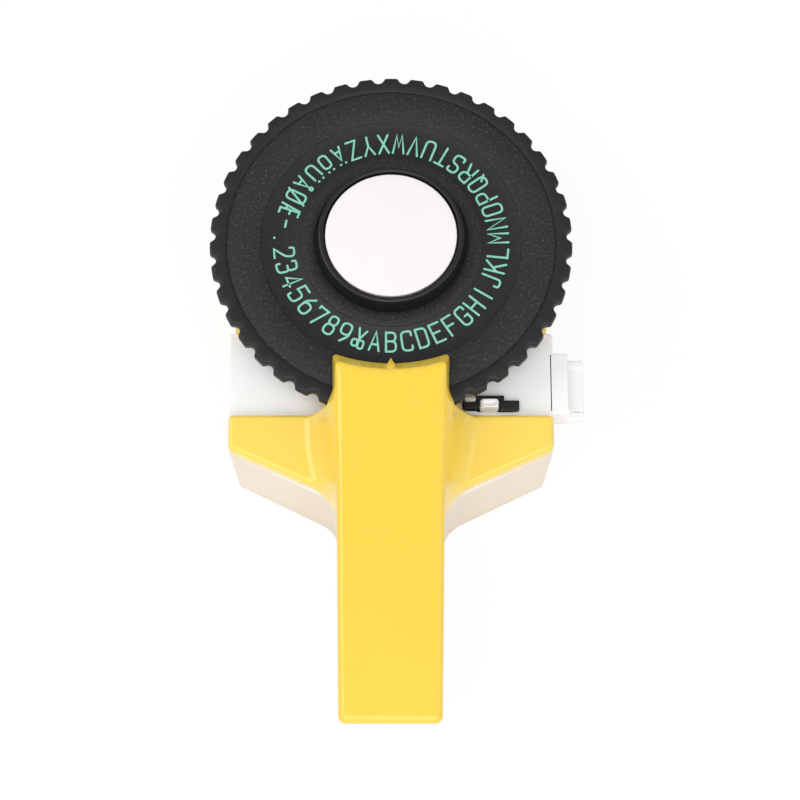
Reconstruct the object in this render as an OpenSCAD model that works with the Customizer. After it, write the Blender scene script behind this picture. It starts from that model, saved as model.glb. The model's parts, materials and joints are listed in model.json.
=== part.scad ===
// Hand label embosser: a turning character dial over a tape bay, a squeeze lever under a grip bar,
// a hammer that lifts the die fingers and a sliding tape feed.
// Millimetres. Z is up from the rest face, the dial turns about the Z axis and the grip runs to -Y.
// Lengths named "back" are measured from the dial axis towards the end of the grip.

/* [Dial] */
// Diameter of the dial over its teeth
dial_d = 85; // [80:1:88]
// Number of characters, and of teeth, round the dial
dial_count = 43; // [39:2:45]
// Height of the dial's face above the rest face
dial_z = 38; // [37:0.5:41]
// Thickness of the dial plate
dial_t = 2.5; // [2:0.1:3]
// Depth of a notch between two teeth
notch_depth = 1.3; // [0.9:0.1:1.6]
// Width of a notch at the rim
notch_w = 3; // [2.4:0.1:3.6]
// Radius of the fine groove inside the teeth
groove_r = 38.7; // [36:0.1:39]
// Outer radius of the sunk letter band
band_out_r = 30.7; // [29:0.1:32]
// Inner radius of the sunk letter band
band_in_r = 21.5; // [20:0.1:23]
// Depth of the letter band
band_depth = 0.3; // [0.2:0.1:0.5]
// Diameter of the centre knob at the dial
knob_d = 35.6; // [32:0.2:38]
// Height of the knob above the dial
knob_h = 4.4; // [3.6:0.1:5]
// Diameter of the pale disc in the knob
badge_d = 30.8; // [28:0.2:31]
// Thickness of the pale disc
badge_t = 1.2; // [0.8:0.1:1.5]

/* [Die wheel] */
// Diameter of the die drum under the dial plate
drum_d = 68.4; // [66:0.2:70]
// Inner diameter of both die rings
ring_in_d = 38; // [34:0.5:40]
// Radius where the tape gap between the rings ends
gap_in_r = 24.8; // [24:0.1:26]
// Thickness of the lower die ring
ring_t = 2.8; // [2.2:0.1:3]
// Height of the tape gap between the rings
die_gap = 1.5; // [1.2:0.1:1.8]
// Width of the slits between the die fingers
slit_w = 1; // [0.8:0.1:1.2]
// Diameter of the dial axle
axle_d = 6; // [5:0.5:8]
// Wall of the hub bush
bush_t = 2.5; // [2:0.1:3]

/* [Case] */
// Wall of the mouldings
wall = 2; // [1.6:0.1:2.4]
// Height of the deck above the rest face
deck_z = 27; // [26:0.5:29]
// Height of the tape channel under the deck
channel_h = 2.4; // [2:0.1:2.8]
// Height of the front housing
tub_h = 33; // [30:0.5:34]
// Step from the front housing out to the case
case_step = 1.1; // [0.6:0.1:1.6]
// Back distance of the seam between housing and case
seam_back = 19; // [18:0.5:20]
// Back distance of the end of the case
case_back = 69; // [67:0.5:71]
// Thickness of the base plate
base_t = 2; // [1.6:0.1:2.4]

/* [Handle] */
// Back distance of the wings' front edge
wing_back = 40.6; // [40.5:0.1:42]
// Length of a wing's straight tip
wing_tip = 8.2; // [7.5:0.1:10]
// Back distance where the wings' rear edges meet the bar
shoulder_back = 60.3; // [59:0.1:62]
// Thickness of the wings
wing_t = 4; // [3.5:0.1:5]
// Plan fillet between nose and wing
front_fillet = 7; // [5:0.5:8]
// Plan fillet between wing and bar
rear_fillet = 8; // [6:0.5:9]
// Width of the bar at the nose
bar_front_w = 26.8; // [25:0.1:27.5]
// Width of the bar at its end
bar_end_w = 23.3; // [22:0.1:25]
// Back distance of the bar's end
bar_back = 115.4; // [109:0.2:120]
// Height of the nose above the dial
nose_h = 5.5; // [5:0.1:6.5]
// Drop of the bar's top from nose to end
bar_drop = 4.5; // [2:0.1:6]
// Undercut of the bar's end face
end_undercut = 2.5; // [1:0.1:4]
// Radius of the nose's front arc at the dial
nose_r = 30.6; // [30.4:0.1:33]
// Run of the nose's bevel
nose_bevel = 3.7; // [3:0.1:4.5]
// Radius of the hollow blend between wing and bar
cove_r = 7; // [5:0.5:8]
// Width of the pointer on the nose
pointer_w = 2.6; // [2:0.1:3.5]

/* [Lever] */
// Back distance of the lever's pivot
pivot_back = 23; // [22.5:0.1:24]
// Height of the lever's pivot
pivot_z = 9; // [8.5:0.1:9.5]
// Diameter of the lever's pin
lever_pin_d = 4; // [3:0.2:5]
// Width of the lever inside the case
lever_w = 18; // [16:0.5:19]
// Width of the lever's grip
lever_grip_w = 19; // [17:0.5:20]
// Height of the lever's top face
lever_top_z = 11.5; // [11:0.1:12]
// Back distance of the lever's end
lever_back = 100; // [92:0.5:104]
// Back distance of the hammer
hammer_back = 31.5; // [30.5:0.1:32]
// Width of the hammer along the tape
hammer_w = 7; // [5:0.5:8]
// Depth of the hammer across the tape
hammer_l = 7.5; // [6:0.5:8]
// Travel of the hammer
hammer_travel = 1.9; // [1.5:0.1:2]
// Outer diameter of the lever's return spring
spring_d = 7; // [6:0.2:8]
// Wire diameter of the lever's return spring
spring_wire = 0.8; // [0.6:0.1:1]
// Turns of the lever's return spring
spring_turns = 5; // [4:1:6]
// Back distance of the lever's return spring
spring_back = 50; // [48:0.5:54]

/* [Tape feed] */
// Distance of the feed crank to the right of the dial axis
crank_x = 23; // [22.5:0.1:23.5]
// Height of the feed crank's pivot
crank_z = 13; // [12.6:0.1:13.4]
// Diameter of the crank pin
crank_pin_d = 3; // [2.4:0.1:3.4]
// Reach of the crank's lower arm towards the lever
crank_reach = 12; // [11:0.1:13]
// Thickness of the crank
crank_t = 2.2; // [2:0.1:2.4]
// Back distance of the crank's front face
crank_back = 36.2; // [36.1:0.1:36.5]
// Diameter of the crank's rounded tip
crank_tip_d = 4.7; // [4:0.1:5.2]
// Travel of the feed slider
feed_travel = 3.9; // [3.4:0.1:4.2]
// Height of the feed slider above the deck
slider_h = 1.6; // [1.3:0.1:1.8]
// Width of the tape
tape_w = 9; // [6:0.5:9]
// Outer diameter of a full tape roll
roll_d = 40; // [34:0.5:41]
// Core diameter of the tape roll
core_d = 18; // [14:0.5:20]
// Length of the tape chute outside the case
chute_l = 4; // [3.5:0.1:6]
// Length of the lip beyond the chute
lip_l = 3.8; // [3:0.1:5]
// Width of the tape chute
chute_w = 15; // [13.5:0.5:15]

/* [Fits] */
// Gap round the turning drum
drum_gap = 0.5; // [0.4:0.1:0.8]
// Gap between pieces that move past each other
run_gap = 0.3; // [0.25:0.05:0.4]
// Radial gap of a pin or shaft in its bore
pin_fit = 0.05; // [0.03:0.01:0.08]
// Radial gap of a screw in its clearance hole
screw_fit = 0.1; // [0.05:0.05:0.2]

/* [Hidden] */
$fn = 64;
eps = 0.01;
far = 200;
over = 5;

YELLOW = [0.98, 0.8, 0.16];
WHITE = [0.93, 0.92, 0.9];
BLACK = [0.16, 0.155, 0.16];
STEEL = [0.68, 0.69, 0.71];
BRASS = [0.78, 0.62, 0.3];
RUBBER = [0.1, 0.1, 0.1];
BLUE = [0.1, 0.25, 0.6];
GREY = [0.6, 0.6, 0.58];

// Dial and die wheel
dial_r = dial_d / 2;
pitch_deg = 360 / dial_count;
dial_low_z = dial_z - dial_t;
notch_r = (pow(notch_w / 2, 2) + pow(notch_depth, 2)) / (2 * notch_depth);
drum_r = drum_d / 2;
ring_in_r = ring_in_d / 2;
axle_r = axle_d / 2;
bush_r = axle_r + pin_fit + bush_t;
hub_r = bush_r + 3;
knob_r = knob_d / 2;
knob_wall = 1.6;
knob_taper = 1;
badge_r = badge_d / 2;
knob_floor_t = 0.8;
badge_z = dial_z + knob_h - 0.2;
knob_floor_z = badge_z - badge_t - knob_floor_t;
axle_end_play = 0.1;
axle_washer_t = 0.6;
axle_head_t = 0.9;
hub_top_z = knob_floor_z - axle_end_play - axle_washer_t - axle_head_t - 0.1;
die_screw_r = 1.2;
die_screw_head_r = 2.2;
die_screw_head_t = 1.3;
die_screw_n = 3;
die_screw_circle = (ring_in_r + gap_in_r) / 2;
blade_t = 0.5;
blade_mark = -2;
blade_drop = 0.7;

// Case levels
deck_t = 2;
bed_t = 2;
bed_z = deck_z - deck_t - channel_h;
ring_top_z = bed_z + 0.2;
drum_z = ring_top_z - ring_t;
upper_ring_z = ring_top_z + die_gap;
chassis_gap = 0.6;
chassis_t = 2;
chassis_top_z = drum_z - chassis_gap;
chassis_low_z = chassis_top_z - chassis_t;

// Case plan
drum_room_r = drum_r + drum_gap;
tub_r = drum_room_r + wall;
case_hw = tub_r + case_step;
tip_back = wing_back + wing_tip;
wing_top_z = deck_z + wing_t;
bar_top_z = dial_z + nose_h;
bar_end_z = bar_top_z - bar_drop;
nose_back = nose_r - 4;
dial_room = 0.6;
tip_round = 1.8;
end_round = 1.3;
lever_mouth_hw = max(lever_w, lever_grip_w) / 2 + 0.7;
case_end_hw = lever_mouth_hw + wall;

// Width of the bar, and height of its top, at a back distance
function bar_hw(back) = (bar_front_w + (bar_end_w - bar_front_w) * (back - nose_r) / (bar_back - nose_r)) / 2;
function bar_z(back) = bar_top_z - bar_drop * (back - nose_r) / (bar_back - nose_r);

// Tape line
tape_back = hammer_back;
slot_w = tape_w + 2;
chute_in_back = tape_back - chute_w / 2;

// Lever
lever_pin_r = lever_pin_d / 2;
lever_boss_r = lever_pin_r + 2.4;
lever_low_z = base_t + 1;
lever_heel_z = 1;
lever_neck_back = case_back + 4;
lever_end_top_z = 8.5;
lever_hw = lever_w / 2;
ear_t = 2;
ear_in_x = lever_hw + 0.4;
ear_out_x = ear_in_x + ear_t;
clip_t = 0.8;
clip_r = lever_pin_r + 1.5;
pin_half_l = ear_out_x + 0.1 + clip_t + 0.6;
hammer_low_z = lever_top_z + 0.2;
hammer_foot_r = 0.8;
hammer_foot_h = 1.3;
hammer_top_z = drum_z - 0.1 - hammer_travel;
guide_t = 1.6;
guide_low_z = lever_top_z + 3.4;

// Feed crank and slider
crank_pin_r = crank_pin_d / 2;
crank_boss_r = crank_pin_r + 2;
crank_tip_r = crank_tip_d / 2;
crank_tip_rise = 2.8;
crank_tip_z = deck_z + crank_tip_rise - crank_tip_r;
crank_end_back = crank_back + crank_t;
crank_arm_t = 3;
crank_arm_low_z = lever_top_z;
crank_lean = asin(feed_travel / (crank_tip_z - crank_z));
tab_low = run_gap;
tab_z = crank_arm_low_z - tab_low;
tab_l = 1.6;
crank_overhang = 1.5;
tab_x = crank_x - crank_reach;
tip_gap = 0.12;
slider_bridge_t = 0.9;
slider_bridge_gap = 0.2;
slider_rear_back = crank_end_back + 0.2;
slider_front_back = crank_back - slider_bridge_t - slider_bridge_gap;
slider_left_x = crank_x - 6;
slider_right_x = crank_x + 7;
slider_low_z = deck_z + 0.1;
slider_top_z = deck_z + slider_h;
slider_finger_w = 3;
slider_leg_l = 3;
slider_arm_back = crank_back + 0.1;
slider_web_w = 1;
slot_gap = 0.2;
crank_slot_gap = 0.15;
slot_in_back = slider_front_back + 0.7;
slot_out_back = slider_front_back + slider_leg_l + slot_gap;
slider_slot_l = slider_left_x - 0.3;
slider_slot_r = slider_left_x + slider_finger_w + feed_travel + 0.5;
pad_front_back = tape_back + 0.5;
pad_t = 0.5;
foot_t = 0.9;
foot_top_z = deck_z - deck_t - 0.15;
rivet_r = 0.75;
rivet_half_l = 1.3;

// Chassis plan
chassis_r = drum_r - 1.2;
chassis_hw = 26.5;
chassis_back = 46;
chassis_front_post = [27.5, 16];
post_r = 2.5;
chassis_post_deg = -49.5;
chassis_rear_post = (drum_room_r + post_r + 0.1) * [cos(chassis_post_deg), sin(chassis_post_deg)];
chassis_screw_r = 1.1;
chassis_screw_head_r = 2;
chassis_screw_head_t = 1.2;
chassis_screw_l = 7;
chassis_overlap = 12;
crank_ear_t = 1.8;
crank_ear_front = crank_back - 4.9;
crank_ear_rear = crank_end_back + 0.3;

// Screws of the mouldings
screw_r = 1.25;
screw_head_r = 2.4;
screw_head_t = 1.4;
boss_r = 3.2;
case_screw_l = 8;
axle_screw_l = 7;
anvil_screw_l = 4.6;
case_screw_at = [[31, -24], [31, -45]];
grip_screw_back = [80, 106];
handle_screw_top = deck_z + 8;
grip_t = 2;
anvil_hw = 9;
anvil_t = 2.2;
anvil_front_back = nose_r + nose_bevel + 1.2;
anvil_step_back = dial_r + dial_room + wall;
anvil_rear_back = anvil_step_back + anvil_t + 2 * boss_r + 0.4;
anvil_low_z = dial_z + run_gap;
anvil_plate_z = deck_z + 4.4;
anvil_screw_x = 5.5;
anvil_screw_back = anvil_rear_back - boss_r - 0.2;
handle_screw_back = [anvil_rear_back + boss_r + 0.9, case_back - 3.5];

// Tape bay
roll_r = roll_d / 2;
core_r = core_d / 2;
bay_y = 6;
cover_r = roll_r + 2.3;
cover_gap = 0.4;
hinge_r = 1.5;
hinge_z = hinge_r + 0.1;
hinge_y = bay_y + cover_r + cover_gap + hinge_r + 0.1;
hinge_pin_r = 0.6;
hinge_hw = 8;
hinge_eye_l = 3;
hinge_tongue_l = 4;
roll_z = base_t + 0.4;
spindle_r = core_r - 0.3;
spindle_h = tape_w - 0.5;
finger_dip_r = 5;
tape_exit_back = 11;
tape_exit_w = 2.5;

// A unit vector, and the plan point of a corner entry [x, y, radius]
function unit(v) = v / norm(v);
function plan_pt(c) = [c[0], c[1]];

// The points of one rounded corner p between its neighbours a and b
function corner_arc(a, p, b, r, n) =
    r <= 0 ? [p] :
    let (u = unit(a - p),
         w = unit(b - p),
         half = acos(u * w) / 2,
         reach = r / tan(half),
         c = p + unit(u + w) * r / sin(half),
         s = p + u * reach - c,
         e = p + w * reach - c,
         start = atan2(s[1], s[0]),
         turn = atan2(s[0] * e[1] - s[1] * e[0], s * e))
    [for (i = [0:n]) c + r * [cos(start + turn * i / n), sin(start + turn * i / n)]];

// An outline of corner entries [x, y, radius] with every corner rounded
function rounded(pts, n = 8) =
    let (m = len(pts))
    [for (i = [0:m - 1])
        each corner_arc(plan_pt(pts[(i + m - 1) % m]), plan_pt(pts[i]), plan_pt(pts[(i + 1) % m]),
                        pts[i][2], n)];

// The same outline moved inwards by t, for a counter-clockwise list
function inset(pts, t) =
    let (m = len(pts))
    [for (i = [0:m - 1])
        let (p = plan_pt(pts[i]),
             d1 = unit(p - plan_pt(pts[(i + m - 1) % m])),
             d2 = unit(plan_pt(pts[(i + 1) % m]) - p),
             n1 = [-d1[1], d1[0]],
             n2 = [-d2[1], d2[0]],
             left = d1[0] * d2[1] - d1[1] * d2[0] > 0,
             q = p + t * (n1 + n2) / (1 + n1 * n2))
        [q[0], q[1], pts[i][2] <= 0 ? 0 : max(0, left ? pts[i][2] - t : pts[i][2] + t)]];

// A left half of corner entries with its mirror image, counter-clockwise
function both_sides(left) =
    concat(left, [for (i = [len(left) - 1:-1:0]) [-left[i][0], left[i][1], left[i][2]]]);

// Plan of nose and wings, as far as the bar behind them
tail_back = shoulder_back + rear_fillet;
shell_plan = both_sides([
    [-bar_hw(nose_back), -nose_back, end_round],
    [-bar_hw(wing_back), -wing_back, front_fillet],
    [-case_hw, -wing_back, 1],
    [-case_hw, -tip_back, tip_round],
    [-bar_hw(shoulder_back), -shoulder_back, rear_fillet],
    [-bar_hw(tail_back), -tail_back, 0]]);

// Plan of the bar alone
bar_plan = both_sides([
    [-bar_hw(nose_back), -nose_back, end_round],
    [-bar_hw(bar_back), -bar_back, end_round]]);

// Plan of the case, from the seam to the lever's mouth
case_inset = 0.9;
case_shoulder_step = 0.3;
case_plan = both_sides([
    [-case_hw, -seam_back, 0],
    [-case_hw, -tip_back + case_inset, tip_round],
    [-case_end_hw, -shoulder_back - case_shoulder_step, rear_fillet],
    [-case_end_hw, -case_back, 0]]);

// Side views: y to the right, z up
bar_side = rounded([
    [-nose_back, deck_z, 0],
    [-nose_back, bar_z(nose_back), 0],
    [-bar_back, bar_end_z, 2],
    [-bar_back + end_undercut, deck_z, 1]]);
lever_side = rounded([
    [-pivot_back + lever_boss_r, lever_top_z, 2],
    [-case_back, lever_top_z, 8],
    [-lever_back, lever_end_top_z, 2.5],
    [-lever_back, lever_heel_z, 2.5],
    [-lever_neck_back, lever_heel_z, 4],
    [-lever_neck_back + 5, lever_low_z, 4],
    [-pivot_back + lever_boss_r, lever_low_z, 2]]);

// Basic forms
module plan_block(pts, z0, z1) {
    translate([0, 0, z0]) linear_extrude(height = z1 - z0) polygon(rounded(pts));
}

module disc(r, z0, z1) {
    translate([0, 0, z0]) cylinder(r = r, h = z1 - z0);
}

module ring(r_in, r_out, z0, z1) {
    difference() {
        disc(r_out, z0, z1);
        disc(r_in, z0 - 1, z1 + 1);
    }
}

// A box from its low to its high corner
module box(low, high) {
    translate(low) cube(high - low);
}

// A side view drawn in y and z, extruded across x
module side_block(pts, half_w) {
    translate([-half_w, 0, 0]) rotate([90, 0, 90]) linear_extrude(height = 2 * half_w) polygon(pts);
}

// A cylinder along x or y, centred on the given point
module rod_x(at, r, half_l) {
    translate(at) rotate([0, 90, 0]) cylinder(r = r, h = 2 * half_l, center = true);
}

module rod_y(at, r, y0, y1) {
    translate([at[0], y1, at[1]]) rotate([90, 0, 0]) cylinder(r = r, h = y1 - y0);
}

// A screw standing on its head: shank up from z, head below it
module screw_up(at, r, z0, z1, head_r, head_t) {
    translate([at[0], at[1], 0]) {
        disc(r, z0 - eps, z1);
        difference() {
            disc(head_r, z0 - head_t, z0);
            translate([-head_r, -0.3, z0 - head_t - eps]) cube([2 * head_r, 0.6, 0.5]);
        }
    }
}

// A screw with its head on top of z
module screw_down(at, r, z0, z1, head_r, head_t) {
    translate([at[0], at[1], z0]) mirror([0, 0, 1]) translate([-at[0], -at[1], -z0])
        screw_up(at, r, z0, z0 + (z0 - z1), head_r, head_t);
}

// One unbroken tube of wire, wound up z: 8 rings of 6 sides a turn
coil_rings = 8;
coil_sides = 6;
function coil_mid(r, length, wire, turns, i) =
    let (t = i / (turns * coil_rings))
    [r * cos(360 * turns * t), r * sin(360 * turns * t), wire / 2 + (length - wire) * t];
function coil_gap(r, length, wire, turns) =
    min([for (i = [0:(turns - 1) * coil_rings])
        norm(coil_mid(r, length, wire, turns, i + coil_rings) - coil_mid(r, length, wire, turns, i)) - wire]);

module coil(d, wire, length, turns) {
    r = (d - wire) / 2;
    n = turns * coil_rings;
    rise = atan((length - wire) / (turns * 2 * PI * r));
    points = [for (i = [0:n]) for (s = [0:coil_sides - 1])
        let (turn = 360 * i / coil_rings,
             a = 360 * s / coil_sides,
             out = wire / 2 * cos(a),
             up = wire / 2 * sin(a),
             mid = coil_mid(r, length, wire, turns, i))
        mid + [out * cos(turn) + up * sin(rise) * sin(turn),
               out * sin(turn) - up * sin(rise) * cos(turn),
               up * cos(rise)]];
    sides = [for (i = [0:n - 1]) for (s = [0:coil_sides - 1])
        let (a = i * coil_sides + s,
             b = i * coil_sides + (s + 1) % coil_sides)
        each [[a, b, a + coil_sides], [b, b + coil_sides, a + coil_sides]]];
    caps = [for (s = [1:coil_sides - 2])
        each [[0, s + 1, s], [n * coil_sides, n * coil_sides + s, n * coil_sides + s + 1]]];
    polyhedron(points = points, faces = [for (f = concat(sides, caps)) [f[2], f[1], f[0]]]);
}

// Dial body

module dial_plate() {
    color(BLACK) difference() {
        rotate_extrude() polygon([
            [bush_r, upper_ring_z], [hub_r, upper_ring_z], [hub_r, dial_low_z],
            [dial_r - 0.4, dial_low_z], [dial_r, dial_low_z + 0.4],
            [dial_r, dial_z - 0.5], [dial_r - 0.5, dial_z],
            [groove_r + 0.35, dial_z], [groove_r, dial_z - 0.4], [groove_r - 0.35, dial_z],
            [band_out_r, dial_z], [band_out_r, dial_z - band_depth],
            [band_in_r, dial_z - band_depth], [band_in_r, dial_z],
            [hub_r, dial_z], [hub_r, hub_top_z], [bush_r, hub_top_z]]);
        for (i = [0:dial_count - 1])
            rotate(-90 + i * pitch_deg)
                translate([dial_r - notch_depth + notch_r, 0, dial_low_z - 1])
                    cylinder(r = notch_r, h = dial_t + 2);
        die_screw_places() disc(die_screw_r, dial_low_z - 1, dial_low_z + 1.4);
    }
}

module dial_knob() {
    color(BLACK) rotate_extrude() polygon([
        [knob_r - knob_wall, dial_z], [knob_r, dial_z], [knob_r - knob_taper + 0.4, dial_z + knob_h - 0.6],
        [knob_r - knob_taper, dial_z + knob_h], [badge_r + 0.1, dial_z + knob_h],
        [badge_r + 0.1, badge_z - badge_t], [0, badge_z - badge_t], [0, knob_floor_z],
        [knob_r - knob_wall, knob_floor_z]]);
}

module badge_disc() {
    color(WHITE) rotate_extrude() polygon([
        [0, badge_z - badge_t], [badge_r, badge_z - badge_t], [badge_r, badge_z - 0.3],
        [badge_r - 0.3, badge_z], [0, badge_z]]);
}

module hub_bush() {
    color(BRASS) ring(axle_r + pin_fit, bush_r, upper_ring_z, hub_top_z);
}

module die_screw_places() {
    for (i = [0:die_screw_n - 1])
        rotate(30 + 360 * i / die_screw_n) translate([die_screw_circle, 0, 0]) children();
}

module upper_die_ring() {
    color(BLACK) difference() {
        ring(ring_in_r, drum_r, upper_ring_z, dial_low_z);
        die_screw_places() disc(die_screw_r + screw_fit, upper_ring_z - 1, dial_low_z + 1);
        blade_place() box([gap_in_r + 0.4, -blade_t / 2 - 0.02, upper_ring_z - 1],
                          [drum_r - 0.4, blade_t / 2 + 0.02, upper_ring_z + 4]);
    }
}

module lower_die_ring() {
    color(BLACK) difference() {
        union() {
            ring(ring_in_r, drum_r, drum_z, ring_top_z);
            ring(ring_in_r, gap_in_r, drum_z, upper_ring_z);
        }
        for (i = [0:dial_count - 1])
            rotate(-90 + (i + 0.5) * pitch_deg)
                box([gap_in_r + 0.6, -slit_w / 2, drum_z - 1], [drum_r + 1, slit_w / 2, ring_top_z + eps]);
        die_screw_places() {
            disc(die_screw_r + screw_fit, drum_z - 1, upper_ring_z + 1);
            disc(die_screw_head_r + screw_fit, drum_z - 1, drum_z + die_screw_head_t + 0.1);
        }
    }
}

module die_screws() {
    color(STEEL) die_screw_places()
        screw_up([0, 0], die_screw_r, drum_z + die_screw_head_t + 0.1, dial_low_z + 1.3,
                 die_screw_head_r, die_screw_head_t);
}

// The blade stands at the cutting mark, counted in characters from the pointer
module blade_place() {
    rotate(-90 + blade_mark * pitch_deg) children();
}

module cutter_blade() {
    color(STEEL) blade_place() rotate([90, 0, 0]) translate([0, 0, -blade_t / 2])
        linear_extrude(height = blade_t) polygon([
            [gap_in_r + 0.5, upper_ring_z + 3.9], [gap_in_r + 0.5, upper_ring_z - blade_drop + 0.3],
            [gap_in_r + 1.2, upper_ring_z - blade_drop], [drum_r - 1.2, upper_ring_z - blade_drop],
            [drum_r - 0.5, upper_ring_z - blade_drop + 0.3], [drum_r - 0.5, upper_ring_z + 3.9]]);
}

// Bearing of the dial

module dial_axle() {
    color(STEEL) difference() {
        union() {
            disc(axle_r, chassis_low_z, hub_top_z + axle_end_play);
            disc(hub_r, chassis_top_z, upper_ring_z - 0.1);
        }
        disc(screw_r, hub_top_z - axle_screw_l - 1, hub_top_z + 1);
    }
}

module axle_washer() {
    low = hub_top_z + axle_end_play;
    color(STEEL) ring(screw_r + screw_fit, bush_r + 0.5, low, low + axle_washer_t);
}

module axle_screw() {
    color(STEEL) screw_down([0, 0], screw_r, hub_top_z + axle_end_play + axle_washer_t,
                            hub_top_z - axle_screw_l, screw_head_r, axle_head_t);
}

// Chassis

module chassis_plan() {
    circle(r = chassis_r);
    translate([-chassis_hw, -chassis_back])
        square([2 * chassis_hw, chassis_back - seam_back + chassis_overlap]);
}

module chassis() {
    guide_hw = hammer_w / 2 + run_gap / 2;
    guide_hl = hammer_l / 2 + run_gap / 2;
    color(STEEL) difference() {
        union() {
            translate([0, 0, chassis_low_z]) linear_extrude(height = chassis_t) chassis_plan();
            box([-guide_hw - guide_t, -hammer_back - guide_hl, guide_low_z],
                [guide_hw + guide_t, -hammer_back + guide_hl + guide_t, chassis_low_z + eps]);
            for (s = [-1, 1])
                lever_ear(s);
            crank_ear(crank_ear_front);
            crank_ear(crank_ear_rear);
        }
        disc(axle_r, chassis_low_z - 1, chassis_top_z + 1);
        box([-guide_hw, -hammer_back - guide_hl - 1, guide_low_z - 1],
            [guide_hw, -hammer_back + guide_hl, chassis_low_z]);
        box([-guide_hw, -hammer_back - guide_hl, chassis_low_z - 1],
            [guide_hw, -hammer_back + guide_hl, chassis_top_z + 1]);
        box([tab_x - crank_overhang - 1, -crank_ear_rear + 0.1, chassis_low_z - 1],
            [chassis_hw + 1, -crank_back + 0.6, chassis_top_z + 1]);
        rod_x([0, -pivot_back, pivot_z], lever_pin_r + pin_fit, ear_out_x + 1);
        rod_y([crank_x, crank_z], crank_pin_r, -crank_ear_rear - crank_ear_t - 1, -crank_ear_front + 1);
        box([-detent_hw - 0.4, detent_root_y + 4, chassis_low_z - 1],
            [detent_hw + 0.4, detent_tip_y + 1.5, chassis_top_z + 1]);
        translate([0, detent_root_y, 0]) disc(detent_rivet_r, chassis_low_z - 1, chassis_top_z + 1);
        for (s = [-1, 1]) {
            translate([s * chassis_front_post[0], chassis_front_post[1], 0])
                disc(chassis_screw_r + screw_fit, chassis_low_z - 1, chassis_top_z + 1);
            translate([s * chassis_rear_post[0], chassis_rear_post[1], 0])
                disc(chassis_screw_r + screw_fit, chassis_low_z - 1, chassis_top_z + 1);
        }
    }
}

// An ear of the chassis that holds the lever's pin
module lever_ear(s) {
    x0 = s > 0 ? ear_in_x : -ear_out_x;
    ear_r = lever_pin_r + 2;
    box([x0, -pivot_back - ear_r, pivot_z], [x0 + ear_t, -pivot_back + ear_r, chassis_low_z + eps]);
    rod_x([x0 + ear_t / 2, -pivot_back, pivot_z], ear_r, ear_t / 2);
}

// An ear of the chassis that holds the crank's pin, behind the given back distance
module crank_ear(back) {
    ear_r = crank_pin_r + 1.6;
    box([crank_x - ear_r, -back - crank_ear_t, crank_z], [crank_x + ear_r, -back, chassis_low_z + eps]);
    rod_y([crank_x, crank_z], ear_r, -back - crank_ear_t, -back);
}

module chassis_screws() {
    color(STEEL) for (s = [-1, 1]) {
        screw_down([s * chassis_front_post[0], chassis_front_post[1]], chassis_screw_r, chassis_top_z,
                   chassis_top_z - chassis_screw_l, chassis_screw_head_r, 0.5);
        screw_up([s * chassis_rear_post[0], chassis_rear_post[1]], chassis_screw_r, chassis_low_z,
                 bed_z - 0.4, chassis_screw_head_r, chassis_screw_head_t);
    }
}

// The detent leaf lies on the chassis in front of the axle, its nose in a slit of the lower die ring
detent_hw = 2.5;
detent_t = 0.3;
detent_root_y = hub_r + 3;
detent_tip_y = gap_in_r + 5;
detent_rivet_r = 1;

module detent_spring() {
    color(STEEL) difference() {
        union() {
            box([-detent_hw, detent_root_y - 2.5, chassis_top_z],
                [detent_hw, detent_tip_y, chassis_top_z + detent_t]);
            box([-slit_w / 2 + 0.15, detent_tip_y - 3, chassis_top_z + detent_t - eps],
                [slit_w / 2 - 0.15, detent_tip_y - 0.5, drum_z + 0.6]);
        }
        translate([0, detent_root_y, 0])
            disc(detent_rivet_r + screw_fit / 2, chassis_top_z - 1, chassis_top_z + 1);
    }
}

module detent_rivet() {
    color(BRASS) translate([0, detent_root_y, 0]) {
        disc(detent_rivet_r, chassis_low_z, chassis_top_z + detent_t + eps);
        disc(detent_rivet_r + 0.8, chassis_top_z + detent_t, chassis_top_z + detent_t + 0.2);
    }
}

// Mouldings

module tub_plan(r) {
    circle(r = r);
    translate([-r, -seam_back]) square([2 * r, seam_back]);
}

module front_housing() {
    color(YELLOW) difference() {
        union() {
            difference() {
                linear_extrude(height = tub_h) intersection() {
                    tub_plan(tub_r);
                    translate([-far, -seam_back]) square([2 * far, far]);
                }
                translate([0, 0, base_t]) linear_extrude(height = tub_h) union() {
                    circle(r = drum_room_r);
                    translate([-drum_room_r, -seam_back - 1]) square([2 * drum_room_r, seam_back + 1]);
                }
            }
            for (s = [-1, 1]) {
                translate([s * chassis_front_post[0], chassis_front_post[1], 0])
                    disc(post_r, base_t - eps, chassis_low_z);
                rod_x([s * (hinge_hw + 0.2 + hinge_eye_l / 2), hinge_y, hinge_z], hinge_r, hinge_eye_l / 2);
            }
        }
        translate([0, bay_y, 0]) disc(cover_r + cover_gap, -1, base_t + 1);
        box([-hinge_hw - 0.2, bay_y + cover_r - hinge_tongue_l - 1, -1],
            [hinge_hw + 0.2, hinge_y + hinge_r + cover_gap, base_t + 2]);
        rod_x([0, hinge_y, hinge_z], hinge_pin_r, hinge_hw + hinge_eye_l + 1);
        translate([0, bay_y - cover_r, -finger_dip_r + 0.9]) sphere(r = finger_dip_r);
        box([tub_r - wall - 1, -tape_exit_back - tape_exit_w, roll_z],
            [tub_r + 1, -tape_exit_back, roll_z + tape_w + 1]);
        for (s = [-1, 1])
            translate([s * chassis_front_post[0], chassis_front_post[1], 0])
                disc(chassis_screw_r, chassis_top_z - chassis_screw_l - 1, chassis_low_z + 1);
    }
}

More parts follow.
